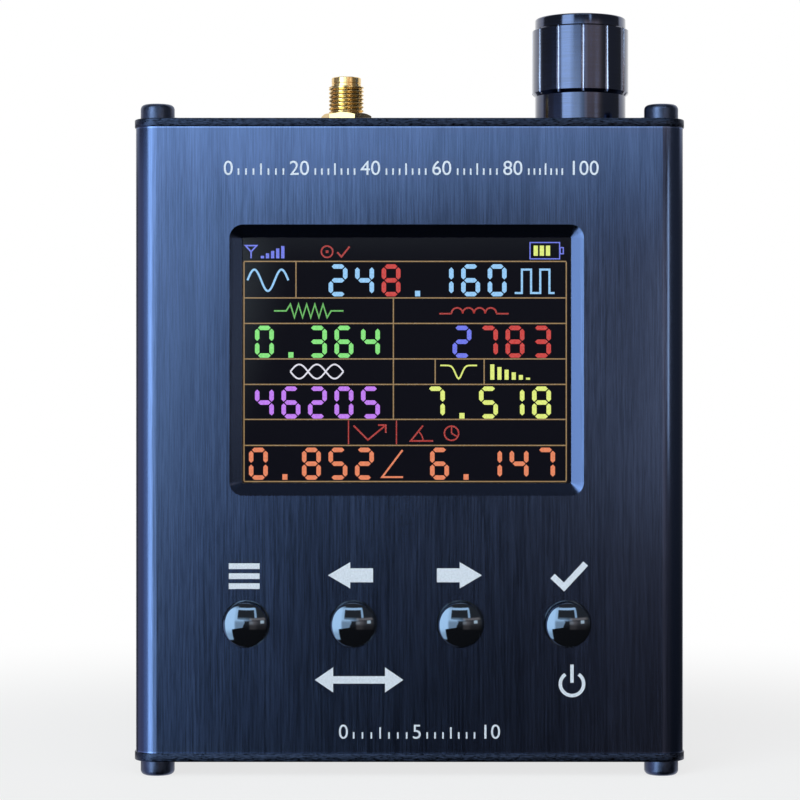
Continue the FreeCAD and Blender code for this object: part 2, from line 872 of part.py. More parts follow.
def make_nut(name, across, thickness, bore, x, low_z, turn=None):
    """A hexagonal nut whose corners are turned down at both ends; unturned, one corner faces the front."""
    body = new_body(name)
    pad(body, outline(body, "flats", "XY_Plane", 0, hexagon(across)), thickness)
    reach = across * HEX_REACH + s.fit_gap
    flat = across / 2
    drop = (reach - flat) * math.tan(math.pi / 6)
    revolve(body, [(flat, thickness), (reach, thickness - drop), (reach, thickness)], "Groove", "top_corner")
    revolve(body, [(flat, 0), (reach, 0), (reach, drop)], "Groove", "low_corner")
    pocket(body, circles(body, "bore", "XY_Plane", thickness, [(0, 0)], bore), thickness)
    keep(place(body, (x, middle_y, low_z), turn))


def make_washer(name, radius, bore, thickness, x, low_z):
    body = new_body(name)
    revolve(body, [(bore, 0), (radius, 0), (radius, thickness), (bore, thickness)])
    keep(place(body, (x, middle_y, low_z)))


def make_encoder():
    half_x, half_y = s.encoder_width / 2, s.encoder_depth / 2
    low = (knob_x - half_x, middle_y - half_y, lid_z - s.encoder_height)
    high = (knob_x + half_x, middle_y + half_y, lid_z)
    block = box("encoder_block", low, high)
    well_z = lid_z - s.shaft_seat - s.shaft_gap
    bore_radius = s.shaft_radius + s.shaft_gap
    well = cylinder("encoder_well", bore_radius, (knob_x, middle_y, well_z), s.shaft_seat + s.shaft_gap)
    keep(cut("encoder_body", block, well))
    make_washer("encoder_bushing", s.bushing_radius, bore_radius, s.bushing_length, knob_x, lid_z)
    nut_bore = s.bushing_radius + s.fit_gap
    washer_thickness = s.encoder_washer_thickness
    nut_z = top_z + washer_thickness
    make_washer("encoder_washer", s.encoder_washer_radius, nut_bore, washer_thickness, knob_x, top_z)
    make_nut("encoder_nut", s.encoder_nut_across, s.encoder_nut_thickness, nut_bore, knob_x, nut_z)


def make_shaft():
    """The shaft from inside the encoder to the end of the knob's bore, with a flat for the screw."""
    length = s.shaft_seat + s.plate_thickness + s.knob_lift + s.knob_bore_depth - s.shaft_gap
    rod = cylinder("shaft_rod", s.shaft_radius, (0, 0, 0), length)
    flat_z = s.shaft_seat + s.bushing_length
    flat_low = (s.shaft_flat, -s.shaft_radius, flat_z)
    flat_high = (s.shaft_radius * 2, s.shaft_radius, length + s.shaft_gap)
    shaft = cut("encoder_shaft", rod, box("shaft_flat", flat_low, flat_high))
    keep(place(shaft, (knob_x, middle_y, lid_z - s.shaft_seat), knob_turn * set_screw_turn))


def make_knob_blank():
    """The knob turned from bar, on its own axis with its lower rim at the origin."""
    body = new_body("knob_blank")
    small = s.knob_radius - s.knob_step
    grip_low = s.collar_height
    grip_high = s.knob_height - s.crown_height
    cavity = s.knob_cavity_radius
    bore = s.shaft_radius + s.fit_gap
    revolve(body, [
        (cavity, 0),
        (small, 0),
        (small, grip_low),
        (s.knob_radius, grip_low + s.knob_step / 2),
        (s.knob_radius, grip_high - s.knob_step / 2),
        (small, grip_high),
        (small, s.knob_height - s.knob_bevel),
        (small - s.knob_bevel, s.knob_height),
        (s.dish_radius, s.knob_height),
        (s.dish_radius - s.dish_depth, s.knob_height - s.dish_depth),
        (0, s.knob_height - s.dish_depth),
        (0, s.knob_bore_depth),
        (bore, s.knob_bore_depth),
        (bore, s.knob_cavity_depth),
        (cavity, s.knob_cavity_depth),
    ])
    half = s.groove_width / 2
    low, high = s.knob_radius - s.groove_depth, s.knob_radius + s.groove_depth
    corners = [(low, -half), (high, -half), (high, half), (low, half)]
    slot = outline(body, "slot", "XY_Plane", grip_high, corners)
    first = pocket(body, slot, grip_high - grip_low)
    pattern = body.newObject("PartDesign::PolarPattern", "knob_grooves")
    pattern.Originals = [first]
    pattern.Axis = (origin_part(body, "Z_Axis"), [""])
    pattern.Angle = FULL_TURN
    bind(pattern, "Occurrences", s.groove_count)
    body.Tip = pattern
    return body


def make_knob():
    knob_z = top_z + s.knob_lift
    screw_z = s.knob_height - s.set_screw_drop
    hole_radius = s.set_screw_radius + s.fit_gap
    screw_way = set_screw_turn * TURN_TO_X
    hole = cylinder("set_screw_hole", hole_radius, (0, 0, screw_z), s.knob_radius, screw_way)
    knob = cut("tuning_knob", make_knob_blank(), hole)
    keep(place(knob, (knob_x, middle_y, knob_z), knob_turn))
    key_depth = s.set_screw_length / 2
    key_mouth = (s.shaft_flat + key_depth, 0, 0)
    length = s.set_screw_length
    rod = cylinder("set_screw_rod", s.set_screw_radius, (s.shaft_flat, 0, 0), length, TURN_TO_X)
    key = cylinder("set_screw_key", s.hex_key_radius, key_mouth, key_depth, TURN_TO_X)
    screw = cut("knob_set_screw", rod, key)
    keep(place(screw, (knob_x, middle_y, knob_z + screw_z), knob_turn * set_screw_turn))


# ---- coaxial jack ----

def make_jack_body():
    """The jack's body: a tail, a hexagonal flange, a threaded barrel and a smooth tip, bored through."""
    body = new_body("sma_body")
    flange_low = -s.plate_thickness - s.jack_flange_thickness
    tip_low = s.jack_height - s.tip_length
    bore = s.dielectric_radius + s.fit_gap
    flange = outline(body, "flange", "XY_Plane", flange_low, hexagon(s.jack_flange_across))
    pad(body, flange, s.jack_flange_thickness)
    revolve(body, [
        (0, jack_tail_z),
        (s.jack_tail_radius, jack_tail_z),
        (s.jack_tail_radius, flange_low),
        (s.thread_radius, flange_low),
        (s.thread_radius, tip_low),
        (s.tip_radius, tip_low),
        (s.tip_radius, s.jack_height - s.tip_bevel),
        (s.tip_radius - s.tip_bevel, s.jack_height),
        (0, s.jack_height),
    ])
    revolve(body, [
        (0, jack_tail_z),
        (bore, jack_tail_z),
        (bore, jack_mouth_z),
        (s.socket_radius, jack_mouth_z),
        (s.socket_radius, s.jack_height),
        (0, s.jack_height),
    ], "Groove", "bore")
    cut_thread(body, tip_low)
    keep(place(body, (jack_x, middle_y, top_z)))


def cut_thread(body, tip_low):
    """Thread grooves from the smooth tip down to the nut, one pitch apart."""
    half = s.thread_depth * math.tan(math.pi / 6)
    first_z = tip_low - s.thread_pitch / 2
    core = s.thread_radius - s.thread_depth
    outside = s.thread_radius + s.fit_gap
    notch = [(outside, first_z + half), (core, first_z), (outside, first_z - half)]
    first = revolve(body, notch, "Groove", "thread")
    pattern = body.newObject("PartDesign::LinearPattern", "sma_thread")
    pattern.Originals = [first]
    pattern.Direction = (origin_part(body, "Z_Axis"), [""])
    pattern.Reversed = True
    pattern.Mode = "Spacing"
    bind(pattern, "Offset", s.thread_pitch)
    threaded = tip_low - s.jack_washer_thickness - s.jack_nut_thickness
    pattern.setExpression("Occurrences", f"floor({(threaded / s.thread_pitch).text})")
    body.Tip = pattern


def make_jack():
    make_jack_body()
    thick = s.jack_washer_thickness
    loose = s.thread_radius + s.fit_gap
    make_washer("sma_washer", s.jack_washer_radius, loose, thick, jack_x, top_z)
    nut_turn = Rotation(Vector(0, 0, 1), s.jack_nut_turn.value)
    make_nut("sma_nut", s.jack_nut_across, s.jack_nut_thickness, loose, jack_x, top_z + thick, nut_turn)
    sleeve_bore = s.contact_radius + s.fit_gap
    sleeve_length = jack_mouth_z - jack_tail_z
    sleeve_z = top_z + jack_tail_z
    make_washer("sma_dielectric", s.dielectric_radius, sleeve_bore, sleeve_length, jack_x, sleeve_z)
    contact = new_body("sma_contact")
    revolve(contact, [
        (0, jack_tail_z),
        (s.contact_radius, jack_tail_z),
        (s.contact_radius, jack_mouth_z),
        (s.contact_bore, jack_mouth_z),
        (s.contact_bore, jack_mouth_z - s.contact_bore_depth),
        (0, jack_mouth_z - s.contact_bore_depth),
    ])
    keep(place(contact, (jack_x, middle_y, top_z)))


# ---- battery and charging socket ----

def make_battery():
    body = new_body("battery_pack")
    corners = rectangle(as_size(0), battery_z, s.battery_width, s.battery_height)
    pouch = pad(body, outline(body, "pouch", "XZ_Plane", -battery_back_y, corners), s.battery_thickness)
    deep = edges_where(pouch, lambda middle, along: is_deep(along))
    round_edges(body, pouch, deep, s.battery_corner)
    keep(body)
    half_x, half_z = s.pad_width / 2, s.pad_height / 2
    low = (-half_x, battery_back_y, battery_z - half_z)
    high = (half_x, inside_back_y, battery_z + half_z)
    keep(box("battery_pad", low, high))


def rounded_tube(body, name, width, thickness, low_z, length):
    """Pad a flat rounded section about the charging socket's axis."""
    corners = rectangle(as_size(0), usb_y, width, thickness)
    block = pad(body, outline(body, name, "XY_Plane", low_z, corners), length)
    upright = edges_where(block, lambda middle, along: is_upright(along))
    return round_edges(body, block, upright, thickness / 2 - s.fit_gap)


def make_usb():
    low_z = base_z + s.usb_recess
    shell = new_body("usb_blank")
    rounded_tube(shell, "outside", s.usb_width, s.usb_thickness, low_z, s.usb_length)
    inner = s.usb_wall * 2
    depth = s.usb_length - s.usb_back
    room = new_body("usb_room")
    rounded_tube(room, "inside", s.usb_width - inner, s.usb_thickness - inner, low_z, depth)
    keep(cut("usb_socket", shell, room))
    half_x, half_y = s.tongue_width / 2, s.tongue_thickness / 2
    low = (-half_x, usb_y - half_y, low_z + depth - s.tongue_length)
    high = (half_x, usb_y + half_y, low_z + depth)
    keep(box("usb_tongue", low, high))


# ---- checks and files ----

def check_model():
    """Stop if any object failed or any sub-part has no sound shape."""
    for item in doc.Objects:
        if "Invalid" in item.State or "Error" in item.State:
            raise RuntimeError(f"{item.Name} failed: {item.State}")
    for node in nodes:
        if node.Shape.isNull() or not node.Shape.isValid() or not node.Shape.Solids:
            raise RuntimeError(f"{node.Label} has no sound shape")


def write_parts():
    os.makedirs("parts", exist_ok=True)
    for node in nodes:
        node.Shape.exportStep(os.path.join("parts", f"{node.Label}.step"))


make_front_shell()
keep(make_shell("rear_shell", back_y, screw_back_y, rear_lap, 1))
make_top_plate()
make_bottom_plate()
make_plate_screws("top_plate_screws", top_z, Rotation())
make_plate_screws("bottom_plate_screws", base_z, UPSIDE_DOWN)
make_display()
make_boards()
make_buttons()
make_encoder()
make_shaft()
make_knob()
make_jack()
make_battery()
make_usb()
make_leads()

doc.recompute()
check_model()
write_parts()
print(len(nodes), "nodes written")
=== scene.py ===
"""The looks of the handheld antenna analyzer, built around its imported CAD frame. Lengths are in metres."""
import json
import math

import bmesh
import bpy
from mathutils import Matrix, Vector


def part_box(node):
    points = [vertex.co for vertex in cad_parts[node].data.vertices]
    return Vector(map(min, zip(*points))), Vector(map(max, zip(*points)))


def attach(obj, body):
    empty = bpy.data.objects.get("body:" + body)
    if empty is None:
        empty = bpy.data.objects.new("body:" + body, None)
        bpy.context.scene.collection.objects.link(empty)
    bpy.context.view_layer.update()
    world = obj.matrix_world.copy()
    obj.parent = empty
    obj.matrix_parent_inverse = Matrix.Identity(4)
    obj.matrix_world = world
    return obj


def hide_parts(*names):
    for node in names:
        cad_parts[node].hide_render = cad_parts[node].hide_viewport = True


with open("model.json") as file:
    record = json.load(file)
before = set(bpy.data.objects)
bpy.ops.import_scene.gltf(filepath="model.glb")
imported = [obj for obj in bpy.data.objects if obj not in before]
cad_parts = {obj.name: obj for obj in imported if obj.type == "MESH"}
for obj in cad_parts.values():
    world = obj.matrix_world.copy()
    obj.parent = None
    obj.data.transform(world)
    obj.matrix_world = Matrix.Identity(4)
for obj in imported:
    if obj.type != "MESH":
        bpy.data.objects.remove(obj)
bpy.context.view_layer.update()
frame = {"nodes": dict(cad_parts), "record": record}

MM = 0.001


# ---- places, all read from the frame ----

def centre(node):
    low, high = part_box(node)
    return Vector([(a + b) / 2 for a, b in zip(low, high)])


front_y, back_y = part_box("front_shell")[0][1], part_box("rear_shell")[1][1]
middle_y = (front_y + back_y) / 2
plate_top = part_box("top_end_plate")[1][2]
plate_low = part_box("bottom_end_plate")[0][2]
panel_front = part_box("display_panel")[0][1]
screen_centre = centre("display_panel")
jack_axis = centre("sma_body")
knob_axis = centre("tuning_knob")


# ---- node trees ----

class Graph:
    """Builds a node tree, where every value is a number, a colour or another node's output."""

    def __init__(self, tree):
        self.tree = tree

    def node(self, kind, **settings):
        new = self.tree.nodes.new(f"ShaderNode{kind}")
        for key, value in settings.items():
            setattr(new, key, value)
        return new

    def put(self, value, socket):
        if isinstance(value, bpy.types.NodeSocket):
            self.tree.links.new(value, socket)
        elif socket.type == "RGBA" and len(value) == 3:
            socket.default_value = (*value, 1.0)
        else:
            socket.default_value = value

    def math(self, operation, *values):
        new = self.node("Math", operation=operation)
        for value, socket in zip(values, new.inputs):
            self.put(value, socket)
        return new.outputs[0]

    def product(self, first, *others):
        for other in others:
            first = self.math("MULTIPLY", first, other)
        return first

    def ramp(self, value, start, end, low=0.0, high=1.0):
        """Go smoothly from low to high while the value goes from start to end."""
        new = self.node("MapRange", interpolation_type="SMOOTHSTEP")
        names = ("Value", "From Min", "From Max", "To Min", "To Max")
        for name, number in zip(names, (value, start, end, low, high)):
            self.put(number, new.inputs[name])
        return new.outputs["Result"]

    def band(self, value, rise, fall):
        """1 between a rise and a fall, each given by its start and end, and 0 outside them."""
        return self.product(self.ramp(value, *rise), self.ramp(value, *fall, 1.0, 0.0))

    def scaled(self, colour, factor):
        """A colour multiplied by a factor."""
        new = self.node("VectorMath", operation="SCALE")
        self.put(colour, new.inputs[0])
        self.put(factor, new.inputs["Scale"])
        return new.outputs[0]

    def added(self, total, *colours):
        for colour in colours:
            new = self.node("VectorMath", operation="ADD")
            self.put(total, new.inputs[0])
            self.put(colour, new.inputs[1])
            total = new.outputs[0]
        return total

    def split(self, vector):
        new = self.node("SeparateXYZ")
        self.put(vector, new.inputs[0])
        return new.outputs


NOISE_RANGE = (0.28, 0.72)


class Surface(Graph):
    """A material with one Principled shader."""

    def __init__(self, name, **values):
        self.material = bpy.data.materials.new(name)
        self.material.use_nodes = True
        super().__init__(self.material.node_tree)
        self.shader = self.tree.nodes["Principled BSDF"]
        self.sockets = {name.lower().replace(" ", "_"): name for name in self.shader.inputs.keys()}
        self.set(**values)

    def set(self, **values):
        for key, value in values.items():
            self.put(value, self.shader.inputs[self.sockets[key]])

    def place(self):
        """The point in the CAD frame, in metres."""
        return self.node("TexCoord").outputs["Object"]

    def noise(self, grain, detail=2.0, roughness=0.5):
        """Noise whose grain has the size given for each axis."""
        stretch = self.node("Mapping")
        self.put(self.place(), stretch.inputs["Vector"])
        self.put([1 / size for size in grain], stretch.inputs["Scale"])
        field = self.node("TexNoise")
        for name, value in (("Scale", 1.0), ("Detail", detail), ("Roughness", roughness)):
            self.put(value, field.inputs[name])
        self.put(stretch.outputs["Vector"], field.inputs["Vector"])
        return field.outputs["Fac"]

    def spread(self, value, low, high):
        """Stretch noise, which keeps to the middle of its range, from low to high."""
        return self.ramp(value, *NOISE_RANGE, low, high)

    def bump(self, height, strength, depth):
        new = self.node("Bump")
        for name, value in (("Height", height), ("Strength", strength), ("Distance", depth)):
            self.put(value, new.inputs[name])
        self.set(normal=new.outputs["Normal"])

    def round_z(self):
        """Stretch highlights round the Z axis."""
        self.set(tangent=self.node("Tangent", direction_type="RADIAL", axis="Z").outputs["Tangent"])


def srgb(*levels):
    """A colour given by its sRGB levels of 0 to 255, by the standard's two-part curve."""
    return tuple(level / 3294.6 if level <= 10 else ((level / 255 + 0.055) / 1.055) ** 2.4
                 for level in levels)


# ---- materials ----

RELIEF = 0.01 * MM

# The case's own near-black tone, tinted blue as a painted reflection of the blue window light.
CASE_DARK_SKY_TINTED = (0.072, 0.103, 0.205)
# The brushing's grains, each by its size across, in depth and upright.
FINE_GRAIN = (0.07 * MM, 0.3 * MM, 4 * MM)
LONG_GRAIN = (0.14 * MM, 0.3 * MM, 14 * MM)
BROAD_GRAIN = (4.0 * MM, 4.0 * MM, 60 * MM)
MARKS_RANGE = (0.36, 0.64)
MARKS_SHADE = (0.84, 1.16)
MARKS_ROUGHNESS = (0.10, 0.14)
MARKS_STRENGTH = 0.12
BROAD_SHADE = (0.92, 1.08)
BRUSHED_DEPTH = (0.10 * MM, 0.45 * MM)
ROUNDING_ROUGHNESS = 0.16
# A painted highlight along the rims of the extrusion's ends: its width and how much it brightens the colour.
RIM_HIGHLIGHT_WIDTH = (0.08 * MM, 0.34 * MM)
RIM_HIGHLIGHT_GAIN = 1.9
case_low, case_high = (corner[2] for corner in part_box("front_shell"))


def brushed_case():
    """Anodised extrusion: flat faces brushed upright, plain roundings, and a painted highlight along the rims
    of its ends.
    """
    # The blue of this material is a painted reflection of the window light on a near-black finish.
    surface = Surface("blue_aluminium", metallic=1.0, anisotropic=0.9)
    surface.round_z()
    fine = surface.noise(FINE_GRAIN, detail=1.0)
    long = surface.noise(LONG_GRAIN, detail=1.0)
    broad = surface.noise(BROAD_GRAIN, detail=1.0)
    marks = surface.math("MULTIPLY", surface.math("ADD", fine, long), 0.5)
    place = surface.split(surface.place())
    depth = surface.math("SUBTRACT", place["Y"], middle_y)
    inward = surface.math("SUBTRACT", (back_y - front_y) / 2, surface.math("ABSOLUTE", depth))
    flat = surface.ramp(inward, *BRUSHED_DEPTH, 1.0, 0.0)
    even = surface.math("SUBTRACT", 1.0, flat)
    above = surface.math("SUBTRACT", place["Z"], case_low)
    below = surface.math("SUBTRACT", case_high, place["Z"])
    # Painted highlight: the colour is brightened close to the top and bottom ends, standing in for light
    # caught on those edges.
    painted_rim_highlight = surface.ramp(surface.math("MINIMUM", above, below), *RIM_HIGHLIGHT_WIDTH, RIM_HIGHLIGHT_GAIN, 1.0)
    shade = surface.ramp(marks, *MARKS_RANGE, *MARKS_SHADE)
    shade = surface.math("MULTIPLY", shade, surface.spread(broad, *BROAD_SHADE))
    shade = surface.product(surface.math("MULTIPLY_ADD", shade, flat, even), painted_rim_highlight)
    surface.set(base_color=surface.scaled(CASE_DARK_SKY_TINTED, shade))
    rough = surface.ramp(marks, *MARKS_RANGE, *MARKS_ROUGHNESS)
    plain = surface.product(even, ROUNDING_ROUGHNESS)
    surface.set(roughness=surface.math("MULTIPLY_ADD", rough, flat, plain))
    surface.bump(marks, surface.product(flat, MARKS_STRENGTH), RELIEF)
    return surface.material


# The plates' own near-black tone, tinted blue as a painted reflection of the blue window light.
PLATE_DARK_SKY_TINTED = (0.030, 0.040, 0.072)
SAW_GRAIN = (0.9 * MM, 0.25 * MM, 0.22 * MM)
SAW_SHADE = (0.35, 1.9)
SAW_ROUGHNESS = (0.22, 0.5)
SAW_RELIEF = 0.05 * MM


def sawn_plate():
    """The end plates: darker, with a sawn and mottled edge."""
    surface = Surface("plate_aluminium", metallic=1.0)
    saw = surface.noise(SAW_GRAIN, detail=3.0, roughness=0.65)
    surface.set(base_color=surface.scaled(PLATE_DARK_SKY_TINTED, surface.spread(saw, *SAW_SHADE)),
                roughness=surface.spread(saw, *SAW_ROUGHNESS))
    surface.bump(saw, 0.5, SAW_RELIEF)
    return surface.material


TURNING_PITCH = 0.10 * MM
RING_STRETCH = 60


def turned_metal(name, colour, roughness, **values):
    """Metal turned on a lathe, with fine rings along Z."""
    surface = Surface(name, metallic=1.0, anisotropic=0.4, anisotropic_rotation=0.25, **values)
    surface.round_z()
    wide = RING_STRETCH * TURNING_PITCH
    rings = surface.noise((wide, wide, TURNING_PITCH), detail=2.0)
    surface.set(base_color=surface.scaled(colour, surface.spread(rings, 0.8, 1.2)),
                roughness=surface.spread(rings, roughness * 0.8, roughness * 1.25))
    surface.bump(rings, 0.12, RELIEF)
    return surface.material


def plain_metal(name, colour, roughness, grain=0.3 * MM):
    surface = Surface(name, metallic=1.0)
    cloud = surface.noise((grain, grain, grain), detail=3.0)
    surface.set(base_color=surface.scaled(colour, surface.spread(cloud, 0.9, 1.1)),
                roughness=surface.spread(cloud, roughness * 0.8, roughness * 1.2))
    return surface.material


def plastic(name, colour, roughness, grain=0.25 * MM, relief=0.1, **values):
    surface = Surface(name, **values)
    cloud = surface.noise((grain, grain, grain), detail=3.0)
    surface.set(base_color=surface.scaled(colour, surface.spread(cloud, 0.9, 1.1)),
                roughness=surface.spread(cloud, roughness * 0.85, roughness * 1.15))
    surface.bump(cloud, relief, RELIEF)
    return surface.material


GLOW_GRAIN = (0.36 * MM, 0.36 * MM, 0.36 * MM)
GLOW_SHADE = (0.86, 1.06)


def glowing(name, colour):
    """A lit part of the picture, a little uneven, as a display's dots are."""
    surface = Surface(name, base_color=(0.0, 0.0, 0.0), roughness=0.4, emission_strength=1.0)
    cloud = surface.noise(GLOW_GRAIN, detail=1.0)
    surface.set(emission_color=surface.scaled(colour, surface.spread(cloud, *GLOW_SHADE)))
    return surface.material


materials = {
    "blue_aluminium": brushed_case(),
    "plate_aluminium": sawn_plate(),
    # Black-oxide steel, tinted blue as a painted reflection of the blue window light.
    "dark_steel": plain_metal("dark_steel", (0.075, 0.095, 0.165), 0.36, grain=0.6 * MM),
    # The knob's own black, tinted blue as a painted reflection of the blue window light.
    "black_aluminium": turned_metal("black_aluminium", (0.026, 0.042, 0.105), 0.12,
                                    coat_weight=0.8, coat_roughness=0.1, coat_ior=1.6),
    # Bare cut metal, tinted lavender as a painted reflection of the blue window light.
    "bright_cut": turned_metal("bright_cut", (0.32, 0.34, 0.46), 0.20),
    "gold_plate": plain_metal("gold_plate", (0.92, 0.66, 0.30), 0.16),
    "nickel_steel": plain_metal("nickel_steel", (0.62, 0.60, 0.56), 0.25),
    "white_plastic": plastic("white_plastic", (0.80, 0.82, 0.84), 0.4),
    # The blue specular tint is a painted reflection colour, giving the caps' highlights the blue of the
    # window light.
    "black_gloss": plastic("black_gloss", (0.004, 0.004, 0.005), 0.05, relief=0.02, ior=2.5,
                           specular_tint=(0.55, 0.72, 1.0)),
    "black_plastic": plastic("black_plastic", (0.02, 0.02, 0.022), 0.45),
    "board_green": plastic("board_green", (0.01, 0.10, 0.04), 0.3),
    "flex_amber": plastic("flex_amber", (0.45, 0.18, 0.04), 0.25),
    "lead_grey": plastic("lead_grey", (0.10, 0.10, 0.11), 0.4),
    "battery_silver": plastic("battery_silver", (0.35, 0.36, 0.38), 0.35),
    "foam_grey": plastic("foam_grey", (0.03, 0.03, 0.032), 0.9, relief=0.6),
    "clear_cover": Surface("clear_cover", base_color=(1.0, 1.0, 1.0), roughness=0.02, ior=1.45,
                           transmission_weight=1.0).material,
    "lit_display": glowing("lit_display", srgb(9, 10, 20)),
    # The ink's blue cast is a painted tint of the blue window light on white print.
    "white_ink": plastic("white_ink", (0.80, 0.84, 0.92), 0.6, relief=0.3),
}
slots = {row["node"]: row["material_slot"] for row in frame["record"]["subparts"]}
for node_name, cad_piece in frame["nodes"].items():
    cad_piece.data.materials.clear()
    cad_piece.data.materials.append(materials[slots[node_name]])


# ---- new pieces ----

def add_piece(name, data, finish, slot, body, *nodes):
    """Put a mesh into the scene on a body, in place of CAD nodes where some are named."""
    piece = bpy.data.objects.new(name, data)
    bpy.context.scene.collection.objects.link(piece)
    data.materials.clear()
    data.materials.append(materials[finish])
    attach(piece, body)
    if nodes:
        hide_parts(*nodes)
    return piece


SHARP_ANGLE = 30


def to_data(name, mesh, sharp=SHARP_ANGLE):
    """Turn a bmesh into smooth mesh data whose edges stay sharp above an angle in degrees."""
    bmesh.ops.recalc_face_normals(mesh, faces=mesh.faces)
    data = bpy.data.meshes.new(name)
    mesh.to_mesh(data)
    mesh.free()
    data.shade_smooth()
    data.set_sharp_from_angle(angle=math.radians(sharp))
    return data


def add_rings(mesh, rings, closed=False):
    """Join equal rings of points into a skin with capped ends, or one that closes on its first ring."""
    made = [[mesh.verts.new(point) for point in ring] for ring in rings]
    count = len(made[0])
    for low, high in zip(made, made[1:] + (made[:1] if closed else [])):
        for i in range(count):
            after = (i + 1) % count
            mesh.faces.new((low[i], low[after], high[after], high[i]))
    if not closed:
        mesh.faces.new(reversed(made[0]))
        mesh.faces.new(made[-1])


def circle(axis, radius, height, count):
    """A ring of points about an upright axis; the radius may depend on the angle."""
    points = []
    for i in range(count):
        turn = math.tau * i / count
        reach = radius(turn) if callable(radius) else radius
        points.append((axis.x + reach * math.cos(turn), axis.y + reach * math.sin(turn), height))
    return points


def rounded(radius, height, bend, steps=6):
    """Points (radius, height) of a quarter circle from an outer side over to a flat top."""
    turns = [math.pi / 2 * i / steps for i in range(steps + 1)]
    return [(radius - bend + bend * math.cos(turn), height - bend + bend * math.sin(turn)) for turn in turns]


def cut_out(data, cutter):
    """Take a bmesh cutter out of mesh data and give back the new mesh data."""
    bmesh.ops.recalc_face_normals(cutter, faces=cutter.faces)
    tool_data = bpy.data.meshes.new("cutter")
    cutter.to_mesh(tool_data)
    cutter.free()
    blank, tool = bpy.data.objects.new("blank", data), bpy.data.objects.new("cutter", tool_data)
    for piece in (blank, tool):
        bpy.context.scene.collection.objects.link(piece)
    modifier = blank.modifiers.new("cut", "BOOLEAN")
    modifier.object, modifier.operation, modifier.solver = tool, "DIFFERENCE", "EXACT"
    bpy.context.view_layer.update()
    result = bpy.data.meshes.new_from_object(blank.evaluated_get(bpy.context.evaluated_depsgraph_get()))
    for piece in (blank, tool):
        bpy.data.objects.remove(piece)
    result.shade_smooth()
    result.set_sharp_from_angle(angle=math.radians(SHARP_ANGLE))
    return result


# ---- end plates and their screws ----

PLATE_BEVEL = 0.22 * MM
MERGE_DISTANCE = 0.0005 * MM
FLAT_ANGLE = math.radians(1)
CRISP_ANGLE = math.radians(50)


def make_plate(node):
    """A copy of an end plate's CAD mesh with every crisp edge broken by a narrow bevel."""
    mesh = bmesh.new()
    mesh.from_mesh(frame["nodes"][node].data)
    bmesh.ops.remove_doubles(mesh, verts=mesh.verts, dist=MERGE_DISTANCE)
    bmesh.ops.dissolve_limit(mesh, angle_limit=FLAT_ANGLE, verts=mesh.verts, edges=mesh.edges)
    crisp = [edge for edge in mesh.edges
             if len(edge.link_faces) == 2 and edge.calc_face_angle() > CRISP_ANGLE]
    bmesh.ops.bevel(mesh, geom=crisp, offset=PLATE_BEVEL, segments=2, profile=0.5, affect="EDGES",
                    clamp_overlap=True)
    name = f"{node}_bevelled"
    add_piece(name, to_data(name, mesh), "plate_aluminium", slots[node], "case", node)


HEAD_RADIUS = 3.0 * MM
HEAD_HEIGHT = 2.7 * MM
HEAD_BEVEL = 0.12 * MM
HEAD_ROUNDING = 0.85 * MM
HEAD_SEGMENTS = 64
SHANK_RADIUS = 1.49 * MM
SHANK_LENGTH = 8.0 * MM
SHANK_POINT = 0.25 * MM
CROSS_SPAN = 3.2 * MM
CROSS_WIDTH = 0.8 * MM
CROSS_DEPTH = 1.3 * MM


def add_cross(mesh, axis, low, high):
    """An upright prism with a plus-shaped section, which cuts a screw's recess."""
    far, near = CROSS_SPAN / 2, CROSS_WIDTH / 2
    arm = [Vector((far, -near)), Vector((far, near)), Vector((near, near))]
    plus = [Matrix.Rotation(turn * math.pi / 2, 2) @ corner for turn in range(4) for corner in arm]
    add_rings(mesh, [[(axis.x + spot.x, axis.y + spot.y, height) for spot in plus] for height in (low, high)])


def make_screws(node, seat, way):
    """Four pan-head screws with a cross recess; way is 1 for heads that point up and -1 for down."""
    low, high = (Vector(corner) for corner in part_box(node))
    profile = [(SHANK_RADIUS - SHANK_POINT, -SHANK_LENGTH), (SHANK_RADIUS, -SHANK_LENGTH + SHANK_POINT),
               (SHANK_RADIUS, 0.0), (HEAD_RADIUS - HEAD_BEVEL, 0.0), (HEAD_RADIUS, HEAD_BEVEL),
               *rounded(HEAD_RADIUS, HEAD_HEIGHT, HEAD_ROUNDING)]
    blank, cross = bmesh.new(), bmesh.new()
    for x in (low.x + HEAD_RADIUS, high.x - HEAD_RADIUS):
        for y in (low.y + HEAD_RADIUS, high.y - HEAD_RADIUS):
            axis = Vector((x, y, 0))
            add_rings(blank, [circle(axis, radius, seat + way * height, HEAD_SEGMENTS)
                              for radius, height in profile])
            ends = sorted(seat + way * (HEAD_HEIGHT + step) for step in (-CROSS_DEPTH, CROSS_DEPTH))
            add_cross(cross, axis, *ends)
    name = f"{node}_turned"
    add_piece(name, cut_out(to_data(name, blank), cross), "dark_steel", slots[node], "case", node)


# ---- tuning knob ----

GROOVES = 12
GROOVE_PHASE = math.radians(-1.3 - 90)
GROOVE_HALF = math.radians(2.2)
GROOVE_DEPTH = 0.34 * MM
GROOVE_STEPS = 8
RIB_STEPS = 10
CUT_MARGIN = 0.03 * MM
